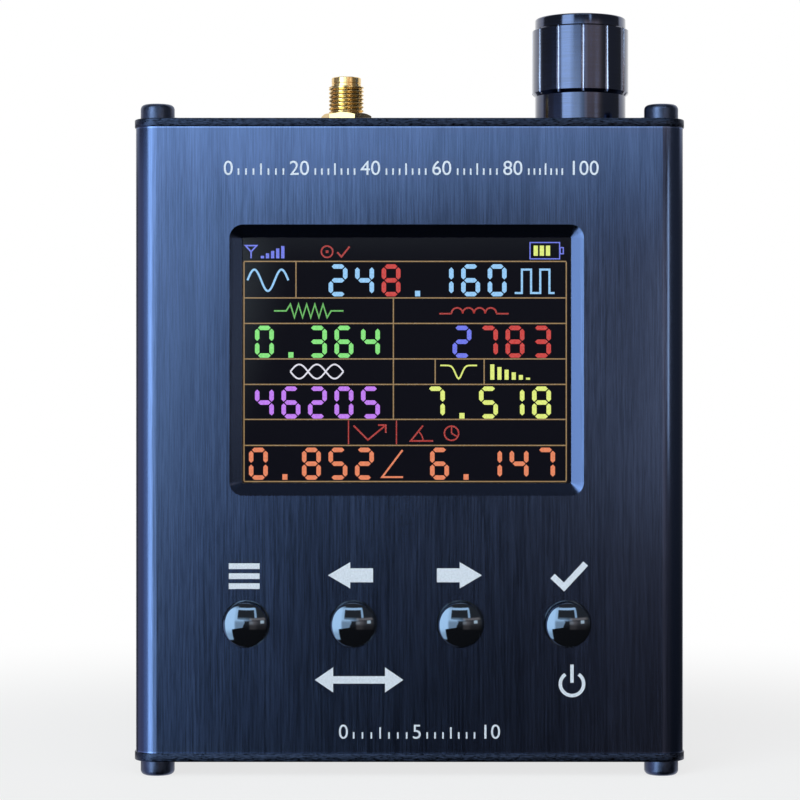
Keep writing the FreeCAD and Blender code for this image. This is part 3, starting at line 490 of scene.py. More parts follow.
# Heights are measured up from the knob's foot, or down from its top where they are called drops.
GRIP_HEIGHT = 4.7 * MM
GRIP_DROP = 1.9 * MM
COLLAR_INSET = 0.5 * MM
COLLAR_BEVEL = 0.15 * MM
LOW_SLOPE = 0.65 * MM
HIGH_SLOPE = 0.3 * MM
CAVITY_RADIUS = 6.5 * MM
CAVITY_HEIGHT = 5.8 * MM
BORE_RADIUS = 3.02 * MM
BORE_HEIGHT = 14.6 * MM
CROWN_ROUNDING = 0.35 * MM
DISH_RADIUS = 6.4 * MM
DISH_DROP = 0.4 * MM
HOLE_RADIUS = 1.52 * MM
HOLE_LENGTH = 6 * MM
HOLE_SEGMENTS = 48


def knob_ring(radius, height, groove=0.0):
    """One ring of the knob, with its points close together across each groove.

    The grooves are cut to the given share of their depth.
    """
    points = []
    pitch = math.tau / GROOVES
    for number in range(GROOVES):
        middle = GROOVE_PHASE + number * pitch
        for i in range(GROOVE_STEPS):
            across = 2 * i / GROOVE_STEPS - 1
            reach = radius - groove * GROOVE_DEPTH * math.sqrt(1 - across ** 2)
            points.append((reach, middle + GROOVE_HALF * across))
        for i in range(RIB_STEPS):
            points.append((radius, middle + GROOVE_HALF + (pitch - 2 * GROOVE_HALF) * i / RIB_STEPS))
    return [(knob_axis.x + reach * math.cos(turn), knob_axis.y + reach * math.sin(turn), height)
            for reach, turn in points]


def make_knob():
    """A turned knob: collar, ribbed grip with shallow grooves, crown with a dished top."""
    low, high = (Vector(corner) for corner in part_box("tuning_knob"))
    grip = high.x - knob_axis.x
    small = grip - COLLAR_INSET
    grip_low, grip_high = low.z + GRIP_HEIGHT, high.z - GRIP_DROP

    def slope(height, rise):
        """The rings from the collar out to the grip, which the grooves cut into."""
        share = 1 - GROOVE_DEPTH / (grip - small)
        return [knob_ring(small, height), knob_ring(grip - GROOVE_DEPTH, height + share * rise),
                knob_ring(grip, height + rise, 1.0)]

    rings = [
        knob_ring(BORE_RADIUS, low.z + BORE_HEIGHT), knob_ring(BORE_RADIUS, low.z + CAVITY_HEIGHT),
        knob_ring(CAVITY_RADIUS, low.z + CAVITY_HEIGHT), knob_ring(CAVITY_RADIUS, low.z),
        knob_ring(small - COLLAR_BEVEL, low.z), knob_ring(small, low.z + COLLAR_BEVEL),
        *slope(grip_low, LOW_SLOPE), *reversed(slope(grip_high, -HIGH_SLOPE)),
        *[knob_ring(radius, height) for radius, height in rounded(small, high.z, CROWN_ROUNDING)],
        knob_ring(DISH_RADIUS, high.z), knob_ring(DISH_RADIUS - DISH_DROP, high.z - DISH_DROP),
    ]
    mesh, hole = bmesh.new(), bmesh.new()
    add_rings(mesh, rings)
    screw = centre("knob_set_screw")
    way = Vector((screw.x - knob_axis.x, screw.y - knob_axis.y, 0)).normalized()
    spot = Matrix.Translation(Vector((knob_axis.x, knob_axis.y, screw.z)) + way * HOLE_LENGTH)
    turned = way.to_track_quat("Z", "Y").to_matrix().to_4x4()
    bmesh.ops.create_cone(hole, cap_ends=True, segments=HOLE_SEGMENTS, radius1=HOLE_RADIUS,
                          radius2=HOLE_RADIUS, depth=HOLE_LENGTH, matrix=spot @ turned)
    knob = add_piece("tuning_knob_turned", cut_out(to_data("knob", mesh), hole), "black_aluminium",
                     slots["tuning_knob"], "knob", "tuning_knob")
    knob.data.materials.append(materials["bright_cut"])
    for face in knob.data.polygons:
        reach = math.hypot(face.center.x - knob_axis.x, face.center.y - knob_axis.y)
        cut = grip_low + LOW_SLOPE < face.center.z < grip_high - HIGH_SLOPE
        if cut and small < reach < grip - CUT_MARGIN:
            face.material_index = 1


# ---- coaxial jack ----

THREAD_RADIUS = 3.175 * MM
THREAD_PITCH = 0.7056 * MM
THREAD_DEPTH = 0.36 * MM
THREAD_STEPS = 12
GROOVE_SHARE = 0.82
TIP_RADIUS = 2.68 * MM
TIP_LENGTH = 1.7 * MM
TIP_BEVEL = 0.12 * MM
NECK_RISE = 0.2 * MM
NECK_HEIGHT = 0.08 * MM
RING_DROP = 1.1 * MM
RING_DEPTH = 0.09 * MM
RING_HALF = 0.04 * MM
MOUTH_RADIUS = 2.3 * MM
MOUTH_BEVEL = 0.06 * MM
MOUTH_DEPTH = 1.93 * MM
LINING_RADIUS = 2.07 * MM
BARREL_RADIUS = 2.6 * MM
JACK_SEGMENTS = 72
JACK_SHARP_ANGLE = 35
FLANGE_HALF = 4.0 * MM
FLANGE_THICKNESS = 1.6 * MM
PLATE_THICKNESS = 1.5 * MM


def hexagon_radius(turn):
    """The radius of a hexagon with flats across X, at an angle."""
    sixth = math.pi / 3
    return FLANGE_HALF / math.cos((turn + sixth / 2) % sixth - sixth / 2)


def thread_radius(turn, height, start, end):
    """A helical thread's radius, whose groove runs out at both ends."""
    phase = ((height / THREAD_PITCH - turn / math.tau) % 1.0) * 2 - 1
    groove = max(0.0, 1 - abs(phase) / GROOVE_SHARE)
    ends = min(height - start, end - height) / (0.5 * THREAD_PITCH)
    return THREAD_RADIUS - THREAD_DEPTH * groove * min(1.0, max(0.0, ends))


def make_jack():
    """The jack's body with its thread as a helix, and its hexagonal flange inside the case."""
    low, high = (corner[2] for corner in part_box("sma_body"))
    nut_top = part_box("sma_nut")[1][2]
    tip_low = high - TIP_LENGTH
    mouth = high - MOUTH_DEPTH
    flange_high = plate_top - PLATE_THICKNESS
    flange_low = flange_high - FLANGE_THICKNESS
    ring_z = high - RING_DROP
    steps = round((tip_low - nut_top) / (THREAD_PITCH / THREAD_STEPS))
    thread = [nut_top + (tip_low - nut_top) * i / steps for i in range(steps + 1)]

    def plain(radius, height):
        return circle(jack_axis, radius, height, JACK_SEGMENTS)

    def cut(height):
        return circle(jack_axis, lambda turn: thread_radius(turn, height, nut_top, tip_low), height,
                      JACK_SEGMENTS)

    mesh = bmesh.new()
    add_rings(mesh, [
        plain(LINING_RADIUS, low), plain(BARREL_RADIUS, low), plain(BARREL_RADIUS, flange_low),
        circle(jack_axis, hexagon_radius, flange_low, JACK_SEGMENTS),
        circle(jack_axis, hexagon_radius, flange_high, JACK_SEGMENTS),
        plain(THREAD_RADIUS, flange_high), *[cut(height) for height in thread],
        plain(TIP_RADIUS + NECK_RISE, tip_low), plain(TIP_RADIUS, tip_low + NECK_HEIGHT),
        plain(TIP_RADIUS, ring_z - RING_DEPTH), plain(TIP_RADIUS - RING_DEPTH, ring_z - RING_HALF),
        plain(TIP_RADIUS - RING_DEPTH, ring_z + RING_HALF), plain(TIP_RADIUS, ring_z + RING_DEPTH),
        plain(TIP_RADIUS, high - TIP_BEVEL), plain(TIP_RADIUS - TIP_BEVEL, high),
        plain(MOUTH_RADIUS + MOUTH_BEVEL, high), plain(MOUTH_RADIUS, high - MOUTH_BEVEL),
        plain(MOUTH_RADIUS, mouth), plain(LINING_RADIUS, mouth)], closed=True)
    data = to_data("sma_body_threaded", mesh, sharp=JACK_SHARP_ANGLE)
    add_piece("sma_body_threaded", data, "gold_plate", slots["sma_body"], "case", "sma_body")


# ---- buttons ----

CAP_RADIUS = 3.9 * MM
CAP_ROUNDING = 0.35 * MM
DOME_RADIUS = 8.9 * MM
CAP_FLANGE = 1.0 * MM
CAP_SEGMENTS = 96
BEND_STEPS = 8
DOME_STEPS = 24


def make_button(key):
    """A domed cap with a flange behind the wall, turned about the way that it is pressed."""
    node = f"{key}_button"
    low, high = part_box(node)
    front, back, flange = -low[1], -high[1], (high[0] - low[0]) / 2
    bend_reach, bend_radius = DOME_RADIUS - CAP_ROUNDING, CAP_RADIUS - CAP_ROUNDING
    dome_height = front - DOME_RADIUS
    bend_height = dome_height + math.sqrt(bend_reach ** 2 - bend_radius ** 2)
    meeting = math.acos(bend_radius / bend_reach)
    profile = [(flange, back), (flange, back + CAP_FLANGE), (CAP_RADIUS, back + CAP_FLANGE)]
    for i in range(BEND_STEPS + 1):
        turn = meeting * i / BEND_STEPS
        profile.append((bend_radius + CAP_ROUNDING * math.cos(turn),
                        bend_height + CAP_ROUNDING * math.sin(turn)))
    for i in range(1, DOME_STEPS):
        turn = meeting + (math.pi / 2 - meeting) * i / DOME_STEPS
        profile.append((DOME_RADIUS * math.cos(turn), dome_height + DOME_RADIUS * math.sin(turn)))
    mesh = bmesh.new()
    add_rings(mesh, [circle(Vector(), radius, height, CAP_SEGMENTS) for radius, height in profile])
    data = to_data(f"{key}_cap", mesh)
    middle = centre(node)
    data.transform(Matrix.Translation((middle.x, 0, middle.z)) @ Matrix.Rotation(math.pi / 2, 4, "X"))
    add_piece(f"{key}_cap", data, "black_gloss", slots[node], f"{key}_key", node)


for key in ("menu", "left", "right", "ok"):
    make_button(key)
for plate in ("top_end_plate", "bottom_end_plate"):
    make_plate(plate)
make_screws("top_plate_screws", plate_top, 1)
make_screws("bottom_plate_screws", plate_low, -1)
make_knob()
make_jack()


# ---- flat drawings, made as thin solids ----

MITRE_LIMIT = 0.35


class Drawing:
    """Closed shapes in one plane that faces the front, each with a small thickness."""

    def __init__(self, name, finish, slot, place, front, thickness):
        self.name, self.finish, self.slot = name, finish, slot
        self.place, self.front, self.thickness = place, front, thickness
        self.mesh = bmesh.new()

    def shape(self, points):
        """A closed outline as one thin solid."""
        spots = [self.place(x, y) for x, y in points]
        turning = sum(a[0] * b[1] - b[0] * a[1] for a, b in zip(spots, spots[1:] + spots[:1]))
        if turning < 0:
            spots.reverse()
        front = [self.mesh.verts.new((x, self.front, z)) for x, z in spots]
        back = [self.mesh.verts.new((x, self.front + self.thickness, z)) for x, z in spots]
        self.mesh.faces.new(front)
        self.mesh.faces.new(reversed(back))
        for i in range(len(front)):
            after = (i + 1) % len(front)
            self.mesh.faces.new((front[after], front[i], back[i], back[after]))

    def bar(self, left, low, right, high):
        self.shape([(left, low), (right, low), (right, high), (left, high)])

    def bars(self, spots, width):
        """Upright bars, each given by its left side and its two ends."""
        for left, low, high in spots:
            self.bar(left, low, left + width, high)

    def ribbon(self, points, width, closed=False):
        """A line of even width with mitred corners."""
        spots = [Vector(point) for point in points]
        last = len(spots) - 1
        sides = []
        for i, spot in enumerate(spots):
            ways = []
            if i > 0 or closed:
                ways.append((spot - spots[i - 1]).normalized())
            if i < last or closed:
                ways.append((spots[(i + 1) % len(spots)] - spot).normalized())
            normals = [Vector((-way.y, way.x)) for way in ways]
            mitre = sum(normals, Vector((0, 0))).normalized()
            reach = width / 2 / max(mitre.dot(normals[0]), MITRE_LIMIT)
            sides.append((spot + mitre * reach, spot - mitre * reach))
        following = sides[1:] + (sides[:1] if closed else [])
        for (a, b), (c, d) in zip(sides, following):
            self.shape([tuple(a), tuple(c), tuple(d), tuple(b)])

    def arc(self, middle, radius, width, start, end, steps=24):
        """A bent line about a middle, from one angle to another in degrees."""
        turns = [math.radians(start + (end - start) * i / steps) for i in range(steps + 1)]
        self.ribbon([(middle[0] + radius * math.cos(turn), middle[1] + radius * math.sin(turn))
                     for turn in turns], width)

    def wave(self, left, right, middle, height, cycles, width, shift=0.0, steps=40):
        """A sine wave of a given height to each side of its middle."""
        points = []
        for i in range(steps + 1):
            share = i / steps
            rise = height * math.sin(math.tau * (cycles * share + shift))
            points.append((left + (right - left) * share, middle - rise))
        self.ribbon(points, width)

    def finish_piece(self):
        data = bpy.data.meshes.new(self.name)
        self.mesh.to_mesh(data)
        self.mesh.free()
        return add_piece(self.name, data, self.finish, self.slot, "case")


# ---- the picture on the display ----

SCREEN_COLUMNS = 320
SCREEN_ROWS = 240
DOT = 0.18 * MM
screen_left = screen_centre.x - SCREEN_COLUMNS * DOT / 2
screen_top = screen_centre.z + SCREEN_ROWS * DOT / 2
DIGIT_PITCH = 26
DIGIT_WIDTH = 18.5
DIGIT_HEIGHT = 31.5
STROKE = 4.4
SEGMENT_GAP = 0.8
POINT_HALF = 2.5
POINT_HEIGHT = 5.5
PICTURE_LIFT = 0.03 * MM
PICTURE_THICKNESS = 0.02 * MM
SEGMENTS = {
    "0": "abcdef", "1": "bc", "2": "abged", "3": "abgcd", "4": "fgbc",
    "5": "afgcd", "6": "afgedc", "7": "abc", "8": "abcdefg", "9": "abcdfg",
}
COLOURS = {
    "grid": srgb(150, 122, 82), "blue": srgb(150, 205, 250), "red": srgb(205, 62, 58),
    "green": srgb(135, 232, 125), "violet": srgb(110, 120, 240), "purple": srgb(196, 124, 246),
    "lime": srgb(228, 242, 125), "orange": srgb(232, 132, 92), "white": srgb(232, 232, 245),
    "indigo": srgb(112, 124, 235), "crimson": srgb(170, 52, 48), "leaf": srgb(105, 185, 95),
}


def on_screen(column, row):
    """The display's dots, counted from its upper left corner."""
    return screen_left + column * DOT, screen_top - row * DOT


picture = {}
for tint, shade in COLOURS.items():
    materials[f"lit_{tint}"] = glowing(f"lit_{tint}", shade)
    picture[tint] = Drawing(f"figures_{tint}", f"lit_{tint}", "lit_display", on_screen,
                            panel_front - PICTURE_LIFT, PICTURE_THICKNESS)


def draw_digit(drawing, figure, left, top):
    """A seven-segment figure whose segments are bars with pointed ends."""
    half = STROKE / 2
    low, high = left + half, left + DIGIT_WIDTH - half
    first, middle, last = top + half, top + DIGIT_HEIGHT / 2, top + DIGIT_HEIGHT - half
    ends = {
        "a": ((low, first), (high, first)), "g": ((low, middle), (high, middle)),
        "d": ((low, last), (high, last)), "f": ((low, first), (low, middle)),
        "b": ((high, first), (high, middle)), "e": ((low, middle), (low, last)),
        "c": ((high, middle), (high, last)),
    }
    for name in SEGMENTS[figure]:
        start, end = (Vector(spot) for spot in ends[name])
        along = (end - start).normalized()
        across = Vector((-along.y, along.x)) * half
        start, end = start + along * SEGMENT_GAP, end - along * SEGMENT_GAP
        shoulder = along * half
        drawing.shape([tuple(spot) for spot in (
            start, start + shoulder + across, end - shoulder + across,
            end, end - shoulder - across, start + shoulder - across)])


def draw_reading(tint, text, left, top):
    """Figures and points, one cell each; a space leaves its cell empty."""
    drawing = picture[tint]
    for cell, mark in enumerate(text):
        start = left + cell * DIGIT_PITCH
        if mark == ".":
            middle, base = start + DIGIT_WIDTH / 2, top + DIGIT_HEIGHT
            drawing.bar(middle - POINT_HALF, base - POINT_HEIGHT, middle + POINT_HALF, base)
        elif mark in SEGMENTS:
            draw_digit(drawing, mark, start, top)


def draw_grid():
    """The tan lines that divide the picture into fields, and the short red ones."""
    grid = picture["grid"]
    half = 0.6
    left, right = 0.6, 316.5
    rows = (23.0, 58.8, 83.8, 118.6, 143.6, 177.9, 203.4, 238.8)
    for row in rows:
        grid.bar(left, row - half, right, row + half)
    uprights = [(left, rows[0], rows[7]), (right, rows[0], rows[7]), (51.5, rows[0], rows[1]),
                (147.0, rows[1], rows[5]), (188.0, rows[3], rows[4]), (236.0, rows[3], rows[4])]
    for column, top, bottom in uprights:
        grid.bar(column - half, top + half, column + half, bottom - half)
    for column in (103.0, 150.0):
        picture["crimson"].bar(column - half, rows[5] + 1, column + half, rows[6] - 1)


def draw_icons():
    """Small generic signs in the places of labels."""
    indigo, crimson, leaf = picture["indigo"], picture["crimson"], picture["leaf"]
    indigo.ribbon([(2, 7.5), (13, 7.5), (7.5, 13.5)], 1.4, closed=True)
    indigo.bar(6.8, 13.5, 8.2, 20)
    indigo.bars([(17 + 5 * i, 17.5 - 2.4 * i, 20) for i in range(5)], 3.2)
    crimson.arc((82, 13.5), 5.6, 1.5, 0, 360)
    crimson.bar(80.7, 12.2, 83.3, 14.8)
    crimson.ribbon([(92, 14), (96, 18.5), (104, 8.5)], 1.7)
    for column, top, width, bottom in ((281, 4.5, 29, 20.5), (310.6, 9.5, 3, 15.5)):
        indigo.ribbon([(column, top), (column + width, top), (column + width, bottom), (column, bottom)],
                      1.1, closed=True)
    picture["lime"].bars([(284.5 + 6 * i, 7.5, 17.5) for i in range(3)], 4.2)

    picture["blue"].wave(4, 44, 41.5, 10.5, 1.5, 2.0)
    picture["blue"].ribbon([(266, 54), (273, 54), (273, 31), (282, 31), (282, 54), (291, 54), (291, 31),
                            (300, 31), (300, 54), (305, 54)], 2.0)
    zigzag = [(46 + 4 * i, 71.5 + (6.5 if i % 2 else -6.5)) for i in range(10)]
    leaf.ribbon([(30, 71.5), (42, 71.5), *zigzag, (86, 71.5), (98, 71.5)], 1.5)
    crimson.bar(192, 73.5, 204, 75)
    crimson.bar(248, 73.5, 260, 75)
    for i in range(4):
        crimson.arc((209.5 + 11 * i, 74), 5.5, 1.6, -180, 0, steps=12)
    for shift in (0.0, 0.5):
        picture["white"].wave(46, 98, 131, 7.0, 1.5, 1.5, shift)
    lime = picture["lime"]
    dip = [(193 + 36 * i / 24, 125 + 13 * math.exp(-((i - 12) / 3.0) ** 2)) for i in range(25)]
    lime.ribbon(dip, 1.5)
    lime.bars([(242 + 7 * i, 124 + 2.6 * i, 139) for i in range(6)], 4.0)
    crimson.ribbon([(108, 184), (122, 198), (139, 184)], 1.6)
    crimson.ribbon([(132, 183.5), (139.5, 183.5), (139.5, 191)], 1.6)
    crimson.ribbon([(176, 184), (164, 199), (186, 199)], 1.6)
    crimson.arc((164, 199), 12, 1.3, -51, 0, steps=8)
    crimson.arc((204, 191.5), 7.0, 1.5, 0, 360)
    crimson.ribbon([(204, 191.5), (204, 184.5)], 1.3)
    crimson.ribbon([(204, 191.5), (209, 194.5)], 1.3)


def draw_picture():
    draw_grid()
    draw_icons()
    draw_reading("blue", "24 .160", 83.5, 25.8)
    draw_reading("red", "8", 83.5 + 2 * DIGIT_PITCH, 25.8)
    draw_reading("green", "0.364", 11.3, 86.0)
    draw_reading("violet", "2", 205.0, 86.0)
    draw_reading("red", "783", 205.0 + DIGIT_PITCH, 86.0)
    draw_reading("purple", "46205", 11.3, 145.6)
    draw_reading("lime", "7.518", 179.0, 145.6)
    draw_reading("orange", "0.852", 5.4, 205.6)
    draw_reading("orange", "6.147", 183.0, 205.6)
    picture["orange"].ribbon([(156.0, 208.0), (136.0, 234.5), (156.5, 234.5)], 1.8)
    for drawing in picture.values():
        drawing.finish_piece()


draw_picture()


# ---- print on the front face ----

INK_THICKNESS = 0.02 * MM
FIGURE_SHARE = 0.70
SCALE_TICKS = 7
# Sizes and heights of the print, in millimetres on the face.
SCALE_HEIGHT = 2.5
TICK_HALF = 0.14
ARROW_HEAD = 3.9
ARROW_WIDE = 2.3
ARROW_THIN = 1.22
ARROW_LEVEL = 35.45
SIGN_LEVEL = 35.3


def on_face(across, up):
    """Millimetres from the middle of the case and from the ground, on the front face."""
    return across * MM, up * MM


def draw_number(ink, text, middle, base, height):
    """Plain figures from the program's own typeface, which are a fixed share of its size high."""
    curve = bpy.data.curves.new("figure", "FONT")
    curve.body, curve.align_x, curve.size = text, "CENTER", height * MM / FIGURE_SHARE
    curve.extrude = ink.thickness / 2
    figure = bpy.data.objects.new("figure", curve)
    data = bpy.data.meshes.new_from_object(figure)
    data.transform(Matrix.Translation((middle * MM, ink.front + ink.thickness / 2, base * MM))
                   @ Matrix.Rotation(math.pi / 2, 4, "X"))
    ink.mesh.from_mesh(data)
    bpy.data.objects.remove(figure)


def draw_scale(ink, left, right, base, numbers):
    """A plain dial scale: numbers with short ticks between them, the middle one taller."""
    step = (right - left) / (len(numbers) - 1)
    spots = [left + step * i for i in range(len(numbers))]
    room = [SCALE_HEIGHT * (0.40 * len(number) + 0.32) for number in numbers]
    for number, spot in zip(numbers, spots):
        draw_number(ink, number, spot, base, SCALE_HEIGHT)
    for i in range(len(numbers) - 1):
        first, last = spots[i] + room[i], spots[i + 1] - room[i + 1]
        for tick in range(SCALE_TICKS):
            middle = first + (last - first) * tick / (SCALE_TICKS - 1)
            tall = SCALE_HEIGHT * (0.8 if tick == SCALE_TICKS // 2 else 0.45)
            ink.bar(middle - TICK_HALF, base, middle + TICK_HALF, base + tall)


def draw_arrow(ink, tail, tip):
    """A block arrow from its tail to its tip."""
    neck = tip - math.copysign(ARROW_HEAD, tip - tail)
    low, high = ARROW_LEVEL - ARROW_THIN, ARROW_LEVEL + ARROW_THIN
    ink.shape([(tail, low), (neck, low), (neck, ARROW_LEVEL - ARROW_WIDE), (tip, ARROW_LEVEL),
               (neck, ARROW_LEVEL + ARROW_WIDE), (neck, high), (tail, high)])


def draw_print():
    """White signs: two dial scales, menu bars, two arrows, a tick, a double arrow and the power sign."""
    ink = Drawing("front_print", "white_ink", "white_plastic", on_face, front_y - INK_THICKNESS,
                  INK_THICKNESS * 0.9)
    menu_x, ok_x = (centre(node).x / MM for node in ("menu_button", "ok_button"))
    for level in (-1.75, 0, 1.75):
        ink.bar(menu_x - 3.0, SIGN_LEVEL + level - 0.5, menu_x + 2.4, SIGN_LEVEL + level + 0.5)
    draw_arrow(ink, -6.4, -14.3)
    draw_arrow(ink, 4.8, 12.7)
    tick = [(ok_x - 2.6, SIGN_LEVEL), (ok_x - 0.6, SIGN_LEVEL - 1.9), (ok_x + 3.2, SIGN_LEVEL + 2.2)]
    ink.ribbon(tick, 1.1)
    ink.shape([(-16.6, 17.1), (-13.4, 19.3), (-13.4, 17.75), (-4.3, 17.75), (-4.3, 19.3), (-1.1, 17.1),
               (-4.3, 14.9), (-4.3, 16.45), (-13.4, 16.45), (-13.4, 14.9)])
    ink.arc((28.5, 16.4), 2.05, 0.6, 125, 415)
    ink.bar(28.2, 16.6, 28.8, 19.8)
    draw_scale(ink, -31.8, 30.6, 105.7, ["0", "20", "40", "60", "80", "100"])
    draw_scale(ink, -11.6, 14.2, 6.8, ["0", "5", "10"])
    ink.finish_piece()


draw_print()


# ---- floor ----

FLOOR_RADIUS = 0.5
SHADOW_START = 0.07
SHADOW_END = 0.25
NEAR_GLOW = 0.75
FLOOR_SIDES = 96
PAPER_WHITE = (0.9, 0.9, 0.9)
DESK_GREY = (0.10, 0.10, 0.11)


def make_floor():
    """A round sheet that keeps the object's shadow and goes over to the white backdrop further out.

    The camera sees white paper that glows. Other rays see a grey desk, and glossy ones see neither.
    """
    mesh = bmesh.new()
    bmesh.ops.create_circle(mesh, cap_ends=True, segments=FLOOR_SIDES, radius=FLOOR_RADIUS)
    data = bpy.data.meshes.new("floor")
    mesh.to_mesh(data)
    mesh.free()
    floor = bpy.data.objects.new("floor", data)
    floor.visible_glossy = False
    bpy.context.scene.collection.objects.link(floor)
    material = bpy.data.materials.new("floor_paper")
    material.use_nodes = True
    graph = Graph(material.node_tree)
    material.node_tree.nodes.remove(material.node_tree.nodes["Principled BSDF"])
    paper, desk = graph.node("BsdfDiffuse"), graph.node("BsdfDiffuse")
    glow, shown, result = graph.node("Emission"), graph.node("MixShader"), graph.node("MixShader")
    graph.put(PAPER_WHITE, paper.inputs["Color"])
    graph.put(DESK_GREY, desk.inputs["Color"])
    graph.put(1.0, glow.inputs["Strength"])
    reach = graph.node("VectorMath", operation="LENGTH")
    graph.put(graph.node("TexCoord").outputs["Object"], reach.inputs[0])
    share = graph.ramp(reach.outputs["Value"], SHADOW_START, SHADOW_END, NEAR_GLOW, 1.0)
    graph.put(share, shown.inputs["Fac"])
    graph.put(paper.outputs[0], shown.inputs[1])
    graph.put(glow.outputs[0], shown.inputs[2])
    graph.put(graph.node("LightPath").outputs["Is Camera Ray"], result.inputs["Fac"])
    graph.put(desk.outputs[0], result.inputs[1])
    graph.put(shown.outputs[0], result.inputs[2])
    graph.put(result.outputs[0], material.node_tree.nodes["Material Output"].inputs["Surface"])
    data.materials.append(material)


# ---- the room that lights the object ----

# Directions are given in degrees, by the side, where 0 is straight ahead of the object and right is
# positive, and by the lift above the horizon. A ramp is (start, end) or (start, end, low, high), and a
# band is the ramps of its rise and its fall. Only CEILING_RISE is by height, where 1 is straight up.

WINDOW_GLOW = (3.1, 3.9, 4.3)
WINDOW_LIFTS = ((-38, -34), (30, 42))
WINDOW_LEFT = (-52, -49)
WINDOW_DIM = (-26, -10, 0.6, 1.0)
EDGE_LEAN = (-9, 3, -8.2, -4.0)
EDGE_STEPS = ((-14, -9, -26.0, 0.0), (3.5, 5, 0.0, -2.0), (7, 9, 0.0, -15.0))
EDGE_BLUR = (-1.5, 1.5)
PANE_SIDES = (-30, -24)
PANE_DIM = (0.5, 9, 0.38, 0.8)

DAYLIGHT_FADE = (-8, 12, 0.55, 0.16)
DAYLIGHT_RIGHT = (10, 15, 1.0, 0.0)
DAYLIGHT_LIFTS = ((3, 7), (11, 14))
DAYLIGHT_DIM = (7.5, 9.5, 1.0, 0.4)

ACROSS_LIFTS, ACROSS_SIDES, ACROSS_SHARE = ((29, 31), (34, 36)), ((-24, -18), (21, 24)), 0.8
DOWN_LIFTS, DOWN_SIDES, DOWN_SHARE = ((10, 14), (33, 35)), ((18, 20), (23, 25)), 0.6

LEFT_TOP = (5, 7, 1.0, 0.0)
NEAR_LEFT_GLOW, NEAR_LEFT_SIDES = (0.61, 0.75, 1.04), ((-78, -74), (-53, -51))
FAR_LEFT_GLOW, FAR_LEFT_SIDES = (0.42, 0.38, 0.48), ((-127, -123), (-78, -74))

WALL_STOPS = (
    (5, (0.0, 0.0, 0.0)), (9, (0.90, 0.66, 0.52)), (42, (0.90, 0.66, 0.52)), (49, (0.30, 0.22, 0.13)),
    (56, (0.07, 0.06, 0.05)), (79, (0.03, 0.03, 0.03)), (107, (0.0, 0.0, 0.0)), (125, (0.12, 0.12, 0.12)),
)
WALL_LIFTS = ((-16, -12), (9.5, 13))
WALL_LOW_DIM = (-7, 1, 0.25, 0.75)
WALL_HIGH_DIM = (2.5, 6, 1.0, 0.25)
WALL_SIDE_DIM = (16, 28, 1.0, 0.3)
WALL_CROWN = ((6, 7), (9.5, 13))

LAMP_GLOW, LAMP_LIFTS, LAMP_SIDES = (2.6, 2.7, 2.4), ((-2, 0), (5, 6)), ((31, 33), (39, 42))
PALE_GLOW, PALE_LIFTS, PALE_SIDES = (0.42, 0.46, 0.42), ((-5, 0), (2.5, 5.5)), ((4.5, 7.5), (12, 18))
CEILING_GLOW, CEILING_RISE = (0.7, 0.75, 0.8), (0.93, 0.99)
DARK = (-14, 6, 0.015, 0.11)

# How far back a direction points, from -1 straight ahead to 1 straight behind, where the backdrop starts.
BEHIND_LEVEL = (0.82, 0.92)
BEHIND_ABOVE, ABOVE_LIFT = (0.30, 0.42), (4.5, 7.5)
BEHIND_BELOW, BELOW_LIFT = (0.10, 0.35), (-12, -8, 1.0, 0.0)
BACKDROP_WHITE = (1.0, 1.0, 1.0)


def window_light(graph, side, lift):
    """The window ahead to the left, dimmer towards its stepped right edge, and the daylight beside it."""
    edge = graph.ramp(lift, *EDGE_LEAN)
    for step in EDGE_STEPS:
        edge = graph.math("ADD", edge, graph.ramp(lift, *step))
    beside = graph.math("SUBTRACT", side, edge)
    pane = graph.ramp(side, *PANE_SIDES, 1.0, graph.ramp(lift, *PANE_DIM))
    window = graph.product(graph.band(lift, *WINDOW_LIFTS), graph.ramp(side, *WINDOW_LEFT),
                           graph.ramp(beside, *EDGE_BLUR, 1.0, 0.0), graph.ramp(lift, *WINDOW_DIM), pane)
    daylight = graph.product(graph.ramp(beside, *EDGE_BLUR), graph.ramp(side, *DAYLIGHT_FADE),
                             graph.ramp(side, *DAYLIGHT_RIGHT), graph.band(lift, *DAYLIGHT_LIFTS),
                             graph.ramp(lift, *DAYLIGHT_DIM))
    return graph.math("ADD", window, daylight)


def strip_light(graph, side, lift):
    """A lit strip above, which goes across and bends down at its right end."""
    across = graph.product(graph.band(lift, *ACROSS_LIFTS), graph.band(side, *ACROSS_SIDES), ACROSS_SHARE)
    down = graph.product(graph.band(lift, *DOWN_LIFTS), graph.band(side, *DOWN_SIDES), DOWN_SHARE)
    return graph.math("MAXIMUM", across, down)


def wall_light(graph, side, lift):
    """The walls to the right: their colours by the side, and a bright crown above a dimmer part."""
    colours = graph.node("ValToRGB")
    graph.put(graph.math("DIVIDE", side, 180.0), colours.inputs["Fac"])
    stops = colours.color_ramp.elements
    while len(stops) < len(WALL_STOPS):
        stops.new(1.0)
    for stop, (angle, colour) in zip(stops, WALL_STOPS):
        stop.position, stop.color = angle / 180.0, (*colour, 1.0)
    low = graph.product(graph.band(lift, *WALL_LIFTS), graph.ramp(lift, *WALL_LOW_DIM),
                        graph.ramp(lift, *WALL_HIGH_DIM), graph.ramp(side, *WALL_SIDE_DIM))
    share = graph.math("MAXIMUM", low, graph.band(lift, *WALL_CROWN))
    return graph.scaled(colours.outputs["Color"], share)


